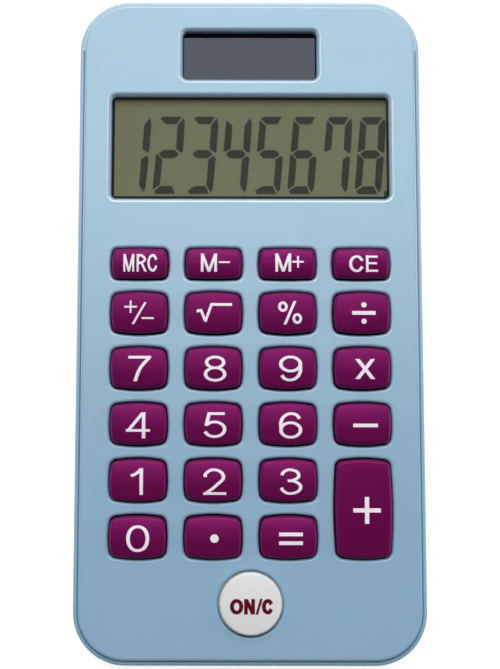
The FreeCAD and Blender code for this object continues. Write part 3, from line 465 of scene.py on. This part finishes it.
def ribbon_mesh(name, strokes, width):
    """Flat ribbons of one width along strokes, as a mesh."""
    outline = bpy.data.curves.new(name + "_nib", "CURVE")
    nib = outline.splines.new("POLY")
    nib.points.add(1)
    nib.points[0].co = (-width / 2, 0, 0, 1)
    nib.points[1].co = (width / 2, 0, 0, 1)
    nib_object = bpy.data.objects.new(name + "_nib", outline)
    curve = bpy.data.curves.new(name, "CURVE")
    curve.dimensions = "3D"
    curve.twist_mode = "Z_UP"
    curve.bevel_mode = "OBJECT"
    curve.bevel_object = nib_object
    curve.resolution_u = CURVE_STEPS
    for stroke in strokes:
        closed = len(stroke) > 3 and stroke[0] == stroke[-1]
        points = stroke[:-1] if closed else stroke
        spline = curve.splines.new("BEZIER")
        spline.bezier_points.add(len(points) - 1)
        spline.use_cyclic_u = closed
        for bezier, point in zip(spline.bezier_points, points):
            bezier.co = (point[0], point[1], 0)
            kind = "AUTO" if len(point) == 3 else "VECTOR"
            bezier.handle_left_type = kind
            bezier.handle_right_type = kind
    ribbon = bpy.data.objects.new(name, curve)
    bpy.context.scene.collection.objects.link(ribbon)
    bpy.context.view_layer.update()
    graph = bpy.context.evaluated_depsgraph_get()
    mesh = bpy.data.meshes.new_from_object(ribbon.evaluated_get(graph))
    bpy.data.objects.remove(ribbon)
    bpy.data.objects.remove(nib_object)
    bpy.data.curves.remove(curve)
    bpy.data.curves.remove(outline)
    return mesh


# Legend of each key: sign, centre from the key's middle, width and height, and stroke, all in millimetres.
LEGENDS = {
    "mrc": (("M", -1.86, -0.03, 1.94, 3.16, 0.46), ("R", 0.43, -0.03, 1.8, 3.16, 0.46),
            ("C", 2.3, -0.03, 1.75, 3.16, 0.46)),
    "m_minus": (("M", -0.81, 0.03, 2.88, 3.25, 0.425), ("-", 1.92, 0.09, 1.99, 0.3, 0.3)),
    "m_plus": (("M", -0.77, 0.06, 2.83, 3.25, 0.44), ("+", 1.84, 0.18, 2.04, 2.12, 0.33)),
    "ce": (("C", -0.95, -0.13, 2.55, 2.99, 0.39), ("E", 1.82, -0.12, 2.16, 2.99, 0.38)),
    "sign": (("+", -1.47, 0.93, 2.24, 2.2, 0.315), ("/", 0.04, -0.2, 2.6, 3.86, 0.335),
             ("-", 1.55, -1.08, 2.1, 0.315, 0.315)),
    "root": (("root", 0.15, -0.08, 6.26, 3.4, 0.47),),
    "percent": (("%", 0.4, -0.08, 4.2, 4.14, 0.46),),
    "divide": (("-", 0.28, -0.1, 4.12, 0.67, 0.67), (".", 0.3, 1.34, 0.94, 0.94, 0),
               (".", 0.3, -1.57, 0.94, 0.94, 0)),
    "7": (("7", 0.2, -0.17, 3.97, 4.45, 0.46),),
    "8": (("8", 0.33, -0.17, 3.94, 4.53, 0.43),),
    "9": (("9", 0.45, -0.12, 4.05, 4.49, 0.445),),
    "multiply": (("x", 0.41, -0.2, 3.52, 3.5, 0.61),),
    "4": (("4", 0.0, -0.29, 4.2, 4.52, 0.44),),
    "5": (("5", 0.32, -0.22, 3.98, 4.5, 0.445),),
    "6": (("6", 0.41, -0.27, 4.03, 4.56, 0.445),),
    "minus": (("-", 0.37, -0.26, 4.32, 0.63, 0.63),),
    "1": (("1", -0.16, -0.24, 2.24, 4.6, 0.45),),
    "2": (("2", 0.31, -0.23, 3.99, 4.56, 0.43),),
    "3": (("3", 0.46, -0.21, 3.86, 4.56, 0.43),),
    "plus": (("+", 0.47, -0.23, 4.77, 4.6, 0.72),),
    "0": (("0", 0.13, -0.23, 3.98, 4.57, 0.465),),
    "point": ((".", 0.28, -0.2, 1.46, 1.44, 0),),
    "equals": (("-", 0.39, 0.54, 4.12, 0.63, 0.63), ("-", 0.39, -0.96, 4.12, 0.63, 0.63)),
    "on": (("O", -2.44, -0.41, 2.3, 2.62, 0.7), ("N", -0.23, -0.4, 1.95, 2.62, 0.7),
           ("/", 1.42, -0.39, 1.25, 2.7, 0.67), ("C", 2.85, -0.4, 1.92, 2.62, 0.7)),
}


def cut_level(mesh, height):
    """Cut a flat sign off level at its foot and at its height."""
    flat = bmesh.new()
    flat.from_mesh(mesh)
    for level, up in ((0.0, -1), (height, 1)):
        bmesh.ops.bisect_plane(flat, geom=flat.verts[:] + flat.edges[:] + flat.faces[:], dist=INK_CUT,
                               plane_co=(0, level, 0), plane_no=(0, up, 0), clear_outer=True)
    flat.to_mesh(mesh)
    flat.free()


def sign_mesh(name, sign, width, height, stroke):
    """One printed sign, flat, fitted to its width and height in millimetres and centred on the origin."""
    if sign == ".":
        dot = bmesh.new()
        bmesh.ops.create_circle(dot, cap_ends=True, segments=DOT_SEGMENTS, radius=width / 2)
        mesh = as_mesh(name, dot)
    else:
        strokes = [[(point[0] * height, point[1] * height, *point[2:]) for point in line]
                   for line in SIGNS[sign]]
        mesh = ribbon_mesh(name, strokes, stroke)
    if sign in LEVEL_SIGNS:
        cut_level(mesh, height)
    low = Vector([min(vertex.co[axis] for vertex in mesh.vertices) for axis in range(3)])
    high = Vector([max(vertex.co[axis] for vertex in mesh.vertices) for axis in range(3)])
    size = high - low
    fit = Matrix.Diagonal((width / size.x, height / size.y, 0.0, 1.0))
    mesh.transform(fit @ Matrix.Translation(-(low + high) / 2))
    flat = bmesh.new()
    flat.from_mesh(mesh)
    straight = [edge for edge in flat.edges if edge.calc_length() > LONGEST_INK_EDGE]
    bmesh.ops.subdivide_edges(flat, edges=straight, cuts=INK_EDGE_CUTS)
    flat.to_mesh(mesh)
    flat.free()
    return mesh


def united(meshes):
    """One flat sheet of small triangles that covers all of these flat meshes."""
    points = []
    faces = []
    for mesh in meshes:
        start = len(points)
        points += [vertex.co.xy for vertex in mesh.vertices]
        faces += [[start + index for index in face.vertices] for face in mesh.polygons]
    ink = BVHTree.FromPolygons([point.to_3d() for point in points], faces)
    low_x = min(point.x for point in points)
    low_y = min(point.y for point in points)
    columns = int((max(point.x for point in points) - low_x) / INK_STEP)
    rows = int((max(point.y for point in points) - low_y) / INK_STEP)
    points += [Vector((low_x + (i + 0.5) * INK_STEP, low_y + (j + 0.5) * INK_STEP))
               for i in range(columns) for j in range(rows)]
    corners, _, triangles, _, _, _ = delaunay_2d_cdt(points, [], faces, 0, INK_WELD)
    sheet = bmesh.new()
    verts = [sheet.verts.new((corner.x * MM, corner.y * MM, 0)) for corner in corners]
    for triangle in triangles:
        middle = sum((corners[index] for index in triangle), Vector((0, 0))) / 3
        if ink.ray_cast(Vector((middle.x, middle.y, 1)), Vector((0, 0, -1)))[0]:
            sheet.faces.new([verts[index] for index in triangle])
    loose = [vertex for vertex in sheet.verts if not vertex.link_faces]
    bmesh.ops.delete(sheet, geom=loose, context="VERTS")
    return sheet


def key_middle(node):
    """Middle of a key's cap at its top, measured on the round key without its tab."""
    low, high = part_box(node)
    across = min(high.x - low.x, high.y - low.y) if node == "key_on" else high.x - low.x
    return Vector((low.x + across / 2, (low.y + high.y) / 2, high.z))


def key_surface(node):
    """Search tree over a key's faces."""
    mesh = NODES[node].data
    return BVHTree.FromPolygons([vertex.co for vertex in mesh.vertices],
                                [tuple(face.vertices) for face in mesh.polygons])


def printed_legend(key, signs, lift):
    """All the signs of a key as one mesh of ink that follows its crown."""
    node = "key_" + key
    middle = key_middle(node)
    surface = key_surface(node)
    flat = []
    for index, (sign, x, y, width, height, stroke) in enumerate(signs):
        part = sign_mesh(f"{node}_{index}", sign, width, height, stroke)
        part.transform(Matrix.Translation((x, y, 0)))
        flat.append(part)
    ink = united(flat)
    for part in flat:
        bpy.data.meshes.remove(part)
    for vertex in ink.verts:
        x = middle.x + vertex.co.x
        y = middle.y + vertex.co.y
        place, _, _, _ = surface.ray_cast(Vector((x, y, middle.z + MM)), Vector((0, 0, -1)))
        vertex.co = (x, y, place.z + lift - INK_THICKNESS)
    raised(ink, INK_THICKNESS)
    return as_mesh("legend_" + key, ink)


# Lit bars of each digit: a top, b and c right, d foot, e and f left, g middle.
LIT_BARS = {"1": "bc", "2": "abged", "3": "abgcd", "4": "fgbc", "5": "afgcd", "6": "afgedc", "7": "fabc",
            "8": "abcdefg", "9": "abcdfg", "0": "abcdef"}

# Corners of each bar in millimetres, on an upright digit whose lower left corner is the origin.
BARS = {
    "a": ((0.21, 13.92), (0.62, 14.34), (3.94, 14.3), (3.31, 12.91), (1.25, 12.91)),
    "b": ((4.35, 14.06), (4.72, 13.08), (4.84, 7.8), (4.53, 7.6), (3.53, 8.38), (3.42, 12.66)),
    "c": ((3.5, 6.43), (4.36, 7.05), (4.82, 6.72), (4.82, 1.63), (4.71, 0.79), (4.41, 0.34), (3.57, 1.67)),
    "d": ((0.25, 0.62), (1.48, 1.5), (3.42, 1.5), (4.17, 0.03), (0.69, 0.03)),
    "e": ((0.0, 7.24), (0.16, 7.41), (1.24, 6.43), (1.26, 1.77), (0.19, 0.88), (0.0, 1.16)),
    "f": ((0.03, 13.72), (1.24, 12.58), (1.29, 8.4), (0.46, 7.83), (0.0, 7.9)),
    "g": ((0.48, 7.41), (1.25, 8.14), (3.36, 8.13), (4.19, 7.34), (3.4, 6.6), (1.3, 6.6)),
    "point": ((5.4, -0.65), (5.36, 0.55), (5.5, 0.68), (6.0, 0.68), (6.0, -0.65)),
}


def display_bars(display):
    """All the lit bars of the display as thin slabs on the film."""
    low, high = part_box("lcd_front_polarizer")
    foot_y = (low.y + high.y - DISPLAY_LENGTH) / 2 + display.digit_low
    bars = bmesh.new()
    for index, digit in enumerate(reversed(display.digits)):
        foot_x = display.last_digit_x - index * display.digit_pitch
        lit = (*LIT_BARS[digit], "point") if index == 0 else LIT_BARS[digit]
        for bar in lit:
            verts = [bars.verts.new((foot_x + (x + display.slant * y) * MM, foot_y + y * MM, high.z))
                     for x, y in BARS[bar]]
            bmesh.ops.contextual_create(bars, geom=verts)
    raised(bars, display.ink_lift)
    return as_mesh("display_digits", bars)


def window_shade_line(name, node, width, length, margins):
    """Black line round a pane, inside an opening, with its left, right, lower and upper margins: painted
    shade of the opening's walls, and on the display also the tape's black edge.
    """
    low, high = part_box(node)
    middle = (low + high) / 2
    mask = bmesh.new()
    bmesh.ops.create_grid(mask, x_segments=1, y_segments=1, size=0.5)
    bmesh.ops.scale(mask, verts=mask.verts, vec=(width + 2 * MASK_REACH, length + 2 * MASK_REACH, 1))
    clear = mask.faces[:]
    bmesh.ops.inset_region(mask, faces=clear, thickness=2 * MASK_REACH, use_boundary=True)
    left, right, lower, upper = margins
    for vertex in clear[0].verts:
        vertex.co.x = width / 2 - right if vertex.co.x > 0 else left - width / 2
        vertex.co.y = length / 2 - upper if vertex.co.y > 0 else lower - length / 2
    bmesh.ops.delete(mask, geom=clear, context="FACES")
    bmesh.ops.translate(mask, verts=mask.verts, vec=(middle.x, middle.y, high.z))
    raised(mask, INK_THICKNESS)
    return as_mesh(name, mask)


def mat_piece(name, keep_above, split_z):
    """The key mat's mesh above or below a level, open at the cut."""
    copy = bmesh.new()
    copy.from_mesh(NODES["key_mat"].data)
    bmesh.ops.remove_doubles(copy, verts=copy.verts, dist=MAT_WELD)
    bmesh.ops.bisect_plane(copy, geom=copy.verts[:] + copy.edges[:] + copy.faces[:], dist=MAT_CUT,
                           plane_co=(0, 0, split_z), plane_no=(0, 0, 1),
                           clear_inner=keep_above, clear_outer=not keep_above)
    return as_mesh(name, copy)


def dome_mesh(name, domes, middle):
    """The one dome of the mat that stands under a key."""
    copy = bmesh.new()
    copy.from_mesh(domes)
    far = [vertex for vertex in copy.verts if (vertex.co.xy - middle.xy).length > DOME_REACH]
    bmesh.ops.delete(copy, geom=far, context="VERTS")
    rim = [edge for edge in copy.edges if edge.is_boundary]
    bmesh.ops.bridge_loops(copy, edges=rim)
    bmesh.ops.recalc_face_normals(copy, faces=copy.faces)
    return as_mesh(name, copy)


def hang_lamp(name, place, size, power):
    """Round soft lamp that shines on the middle of the face."""
    data = bpy.data.lights.new(name, "AREA")
    data.shape = "DISK"
    data.size = size
    data.energy = power
    lamp = bpy.data.objects.new(name, data)
    bpy.context.scene.collection.objects.link(lamp)
    place = Vector(place)
    aim = (Vector((0, 0, FACE_Z)) - place).to_track_quat("-Z", "Y")
    lamp.matrix_world = Matrix.Translation(place) @ aim.to_matrix().to_4x4()


def soft_room(strength):
    """World light of a pale room: bright low down, dimmer overhead, stronger towards the display end."""
    world = bpy.data.worlds.new("soft_room")
    world.use_nodes = True
    nodes = world.node_tree.nodes
    links = world.node_tree.links
    background = nodes["Background"]
    direction = nodes.new("ShaderNodeSeparateXYZ")
    links.new(nodes.new("ShaderNodeTexCoord").outputs["Generated"], direction.inputs["Vector"])
    ramp = nodes.new("ShaderNodeValToRGB")
    ramp.color_ramp.elements[0].color = (*ROOM_LOW, 1.0)
    ramp.color_ramp.elements[1].color = (*ROOM_OVERHEAD, 1.0)
    links.new(direction.outputs["Z"], ramp.inputs["Fac"])
    links.new(ramp.outputs["Color"], background.inputs["Color"])
    level = nodes.new("ShaderNodeMapRange")
    level.inputs["From Min"].default_value = -1.0
    level.inputs["To Min"].default_value = strength * ROOM_NEAR
    level.inputs["To Max"].default_value = strength * ROOM_FAR
    links.new(direction.outputs["Y"], level.inputs["Value"])
    links.new(level.outputs["Result"], background.inputs["Strength"])
    return world


class CALC_OT_case(bpy.types.Operator):
    """Give the two shells and the battery door their light blue moulded finish"""
    bl_idname = "calculator.case"
    bl_label = "Case"

    def execute(self, context):
        blue = settings(context).finish.case_blue
        plastic = satin_plastic("case_blue_plastic", blue, CASE_ROUGHNESS, IOR=1.66, Specular_Tint=CASE_SHEEN,
                                Coat_Roughness=0.4, Coat_IOR=3.0)
        # Painted shade in the creases, such as the groove at the foot of the raised face
        plastic.paint_crease_shade(CREASE_SHADE_REACH, CREASE_SHADE_TINT)
        # Coat on the rounded edges, faded out towards the key end as a painted highlight
        plastic.on_edges("Coat Weight", 0.0, 1.0, CASE_EDGE_LEAN, fade=CASE_EDGE_HIGHLIGHT_FADE)
        for node in ("front_case", "rear_case", "battery_door"):
            finish_node(node, plastic)
        return {"FINISHED"}


class CALC_OT_keys(bpy.types.Operator):
    """Give the keys their purple finish, the double key a duller copy of it as painted shade, and the round
    key its white one
    """
    bl_idname = "calculator.keys"
    bl_label = "Keys"

    def execute(self, context):
        finish = settings(context).finish
        white = satin_plastic("key_white_plastic", finish.key_white, 0.36)
        purple = satin_plastic("key_purple_plastic", finish.key_purple, KEY_ROUGHNESS,
                               Specular_IOR_Level=0.32, Specular_Tint=KEY_SHEEN)
        purple.on_edges("IOR", 1.5, 2.1, KEY_EDGE_LEAN)
        # Painted shade: a less reflective copy of the purple finish darkens the double key's crown and
        # brightens its top edge
        double = satin_plastic("double_key_shaded_purple_plastic", finish.key_purple, KEY_ROUGHNESS,
                               Specular_IOR_Level=0.12, Specular_Tint=KEY_SHEEN)
        double.on_edges("IOR", 1.5, 2.8, DOUBLE_KEY_EDGE_LEAN)
        finishes = {"key_on": white, "key_plus": double}
        for node in KEY_NODES:
            finish_node(node, finishes.get(node, purple))
        return {"FINISHED"}


class CALC_OT_legends(bpy.types.Operator):
    """Print the legend of every key on its crown"""
    bl_idname = "calculator.legends"
    bl_label = "Legends"

    def execute(self, context):
        finish = settings(context).finish
        lift = settings(context).display.ink_lift
        white = ink_and_painted_shade("legend_white_ink", finish.legend_white)
        maroon = ink_and_painted_shade("legend_maroon_ink", finish.legend_maroon)
        for key, signs in LEGENDS.items():
            mesh = printed_legend(key, signs, lift)
            if key == "on":
                new_piece("legend_on", mesh, "key_on", maroon)
            else:
                new_piece("legend_" + key, mesh, "key_" + key, white)
        return {"FINISHED"}


class CALC_OT_display(bpy.types.Operator):
    """Finish the display window, tape and film, and set its digits"""
    bl_idname = "calculator.display"
    bl_label = "Display"

    def execute(self, context):
        finish = settings(context).finish
        window = Shader("display_window_acrylic", (0.2, 0.21, 0.2), 0.03, Alpha=0.05, Specular_IOR_Level=0.08)
        window.mottle(12 * MM, 0.02)
        finish_node("display_window", window.sheen_patches(2 * MM, 0.02, 0.04))
        finish_node("display_tape", soft_rubber("display_tape_black", (0.012, 0.012, 0.012), 0.7))
        film = Shader("display_film", finish.film, 0.5, Specular_IOR_Level=0.05)
        film.mottle(6 * MM, 0.03)
        finish_node("lcd_front_polarizer", film.grain(0.06 * MM, 0.08, 0.01 * MM))
        bars = Shader("display_segment_ink", finish.segment, 0.55, Specular_IOR_Level=0.05)
        bars.mottle(2 * MM, 0.05)
        bars.grain(0.06 * MM, 0.08, 0.01 * MM)
        # Black line round the film: the tape's black edge, and painted shade where the opening's walls shade
        # the film
        mask = window_shade_line("display_mask", "lcd_front_polarizer", DISPLAY_WIDTH, DISPLAY_LENGTH,
                           DISPLAY_MARGINS)
        black = ink_and_painted_shade("display_tape_edge_and_shade_black", MASK_BLACK, 0.0)
        new_piece("display_mask", mask, "housing", black)
        digits = display_bars(settings(context).display)
        new_piece("display_digits", digits, "housing", bars)
        return {"FINISHED"}


class CALC_OT_solar(bpy.types.Operator):
    """Finish the smoked solar window, the cell behind it and its two wires"""
    bl_idname = "calculator.solar"
    bl_label = "Solar cell"

    def execute(self, context):
        smoked = settings(context).finish.smoked
        pane = Shader("solar_window_smoked", smoked, 0.05, Alpha=0.985, Specular_IOR_Level=0.25)
        pane.mottle(8 * MM, 0.02)
        finish_node("solar_window", pane.sheen_patches(2 * MM, 0.03, 0.06))
        # Painted shadow: a black line where the opening's walls shade the pane and mirror darkly in it
        mask = window_shade_line("solar_mask", "solar_window", SOLAR_WIDTH, SOLAR_LENGTH, SOLAR_MARGINS)
        black = ink_and_painted_shade("solar_painted_shadow_black", MASK_BLACK, 0.0)
        new_piece("solar_mask", mask, "housing", black)
        cell = Shader("solar_cell_glass", SOLAR_DARK, 0.25)
        cell.stripe(SOLAR_STRIPES, [(0.0, SOLAR_DARK), (0.97, SOLAR_DARK), (0.99, SOLAR_LINE)])
        finish_node("solar_cell", cell)
        finish_node("solar_lead_positive", soft_rubber("red_wire_skin", (0.35, 0.02, 0.02), 0.45))
        finish_node("solar_lead_negative", soft_rubber("black_wire_skin", (0.015, 0.015, 0.015), 0.45))
        return {"FINISHED"}


class CALC_OT_key_mat(bpy.types.Operator):
    """Make the silicone key mat, parted into its sheet and one dome under each key"""
    bl_idname = "calculator.key_mat"
    bl_label = "Key mat"

    def execute(self, context):
        low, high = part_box("key_mat")
        split_z = low.z + MAT_SPLIT
        silicone = soft_rubber("mat_silicone", (0.42, 0.43, 0.42), 0.6)
        sheet_mesh = mat_piece("mat_sheet", False, split_z)
        sheet = new_piece("mat_sheet", sheet_mesh, "housing", silicone)
        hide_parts("key_mat")
        domes = mat_piece("mat_domes", True, split_z)
        for node in KEY_NODES:
            middle = key_middle(node)
            name = "mat_dome_" + node.removeprefix("key_")
            dome = new_piece(name, dome_mesh(name, domes, middle), "housing", silicone)
            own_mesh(dome)
        bpy.data.meshes.remove(domes)
        return {"FINISHED"}


class CALC_OT_inside(bpy.types.Operator):
    """Finish the circuit board, the display glass and the button cell"""
    bl_idname = "calculator.inside"
    bl_label = "Inside"

    def execute(self, context):
        board = Shader("board_solder_mask", (0.02, 0.11, 0.05), 0.4)
        board.mottle(3 * MM, 0.2)
        finish_node("circuit_board", board.grain(0.5 * MM, 0.3, 0.03 * MM))
        finish_node("chip_glob_top", soft_rubber("glob_top_epoxy", (0.01, 0.01, 0.011), 0.25))
        finish_node("chip_capacitors", satin_plastic("capacitor_ceramic", (0.3, 0.2, 0.12), 0.5))
        finish_node("chip_resistor", satin_plastic("resistor_glaze", (0.02, 0.02, 0.022), 0.35))
        finish_node("blocking_diode", satin_plastic("diode_moulding", (0.025, 0.025, 0.025), 0.5))
        for node in ("lcd_front_glass", "lcd_rear_glass"):
            glass = Shader(node + "_sheet", (0.75, 0.8, 0.77), 0.05, Transmission_Weight=0.6, IOR=1.5)
            finish_node(node, glass.mottle(10 * MM, 0.02))
        foil = Shader("reflector_foil", (0.72, 0.73, 0.7), 0.35, Metallic=0.7)
        finish_node("lcd_reflector", foil.mottle(1 * MM, 0.05).grain(0.1 * MM, 0.2, 0.01 * MM))
        strip = Shader("connector_rubber_layers", (0.25, 0.2, 0.21), 0.55)
        strip.stripe(CONNECTOR_STRIPES, [(0.3, CONNECTOR_DARK), (0.7, CONNECTOR_LIGHT)])
        finish_node("lcd_connector", strip)
        finish_node("lcd_foam_pads", soft_rubber("foam_pad", (0.05, 0.05, 0.05), 0.9))
        finish_node("button_cell", plain_metal("cell_can", (0.72, 0.71, 0.68), 0.28, 0.3 * MM))
        brass = plain_metal("contact_strip", (0.7, 0.55, 0.3), 0.35, 0.2 * MM)
        for node in ("battery_contact_positive", "battery_contact_negative"):
            finish_node(node, brass)
        return {"FINISHED"}


class CALC_OT_fasteners(bpy.types.Operator):
    """Finish the screws and the rubber feet"""
    bl_idname = "calculator.fasteners"
    bl_label = "Screws and feet"

    def execute(self, context):
        steel = plain_metal("screw_steel_plate", (0.5, 0.5, 0.51), 0.35, 0.15 * MM)
        for node in ("case_screws", "board_screws", "battery_door_screw"):
            finish_node(node, steel)
        finish_node("rubber_feet", soft_rubber("foot_rubber_grey", (0.16, 0.17, 0.18), 0.75))
        return {"FINISHED"}


class CALC_OT_stage(bpy.types.Operator):
    """Set up the camera, the lamps, the light of the room and the floor"""
    bl_idname = "calculator.stage"
    bl_label = "Stage"

    def execute(self, context):
        stage = settings(context).stage
        scene = context.scene
        scene.view_settings.view_transform = "Standard"
        data = bpy.data.cameras.new("camera")
        data.sensor_fit = "VERTICAL"
        data.sensor_height = SENSOR_MM
        data.lens = stage.focal_px * SENSOR_MM / IMAGE_HEIGHT_PX
        data.shift_x = -stage.centre_px / IMAGE_HEIGHT_PX
        camera = bpy.data.objects.new("camera", data)
        scene.collection.objects.link(camera)
        turn = (Matrix.Rotation(stage.yaw, 4, "Y") @ Matrix.Rotation(stage.tilt, 4, "X")
                @ Matrix.Rotation(stage.roll, 4, "Z"))
        place = Vector((stage.camera_x, stage.camera_y, FACE_Z + stage.camera_rise))
        camera.matrix_world = Matrix.Translation(place) @ turn
        scene.camera = camera
        hang_lamp("end_lamp", stage.lamp_place, stage.lamp_size, stage.lamp_power)
        for name, x, power in (("left_lamp", -stage.side_reach, stage.left_power),
                               ("right_lamp", stage.side_reach, stage.right_power)):
            hang_lamp(name, (x, 0, stage.side_height), stage.side_size, power)
        scene.world = soft_room(stage.fill)
        ground = bmesh.new()
        bmesh.ops.create_grid(ground, x_segments=FLOOR_CELLS, y_segments=FLOOR_CELLS, size=FLOOR_REACH)
        mesh = as_mesh("floor", ground)
        floor = bpy.data.objects.new("floor", mesh)
        scene.collection.objects.link(floor)
        paper = Shader("floor_paper", stage.floor, 0.9, Specular_IOR_Level=0.1, Emission_Color=(1, 1, 1, 1))
        paper.mottle(40 * MM, 0.004).glow_when_seen(stage.floor_glow)
        mesh.materials.append(paper.material)
        return {"FINISHED"}


class CALC_PT_panel(bpy.types.Panel):
    """Sidebar list of the steps that finish the calculator"""
    bl_idname = "CALC_PT_panel"
    bl_label = "Calculator"
    bl_space_type = "VIEW_3D"
    bl_region_type = "UI"
    bl_category = "Calculator"

    def draw(self, context):
        for step in STEPS:
            self.layout.operator(step.bl_idname)
        calculator = settings(context)
        for group in (calculator.finish, calculator.display, calculator.stage):
            for name in group.bl_rna.properties.keys():
                if name not in ("rna_type", "name"):
                    self.layout.prop(group, name)


STEPS = (CALC_OT_case, CALC_OT_keys, CALC_OT_legends, CALC_OT_display, CALC_OT_solar, CALC_OT_key_mat,
         CALC_OT_inside, CALC_OT_fasteners, CALC_OT_stage)
CLASSES = (CALC_PG_finish, CALC_PG_display, CALC_PG_stage, CALC_PG_settings) + STEPS + (CALC_PT_panel,)


def register():
    for cls in CLASSES:
        bpy.utils.register_class(cls)
    bpy.types.Scene.calculator = PointerProperty(type=CALC_PG_settings)


def unregister():
    del bpy.types.Scene.calculator
    for cls in reversed(CLASSES):
        bpy.utils.unregister_class(cls)


def main():
    register()
    bpy.ops.calculator.case()
    bpy.ops.calculator.keys()
    bpy.ops.calculator.legends()
    bpy.ops.calculator.display()
    bpy.ops.calculator.solar()
    bpy.ops.calculator.key_mat()
    bpy.ops.calculator.inside()
    bpy.ops.calculator.fasteners()
    bpy.ops.calculator.stage()


if __name__ == "__main__":
    main()
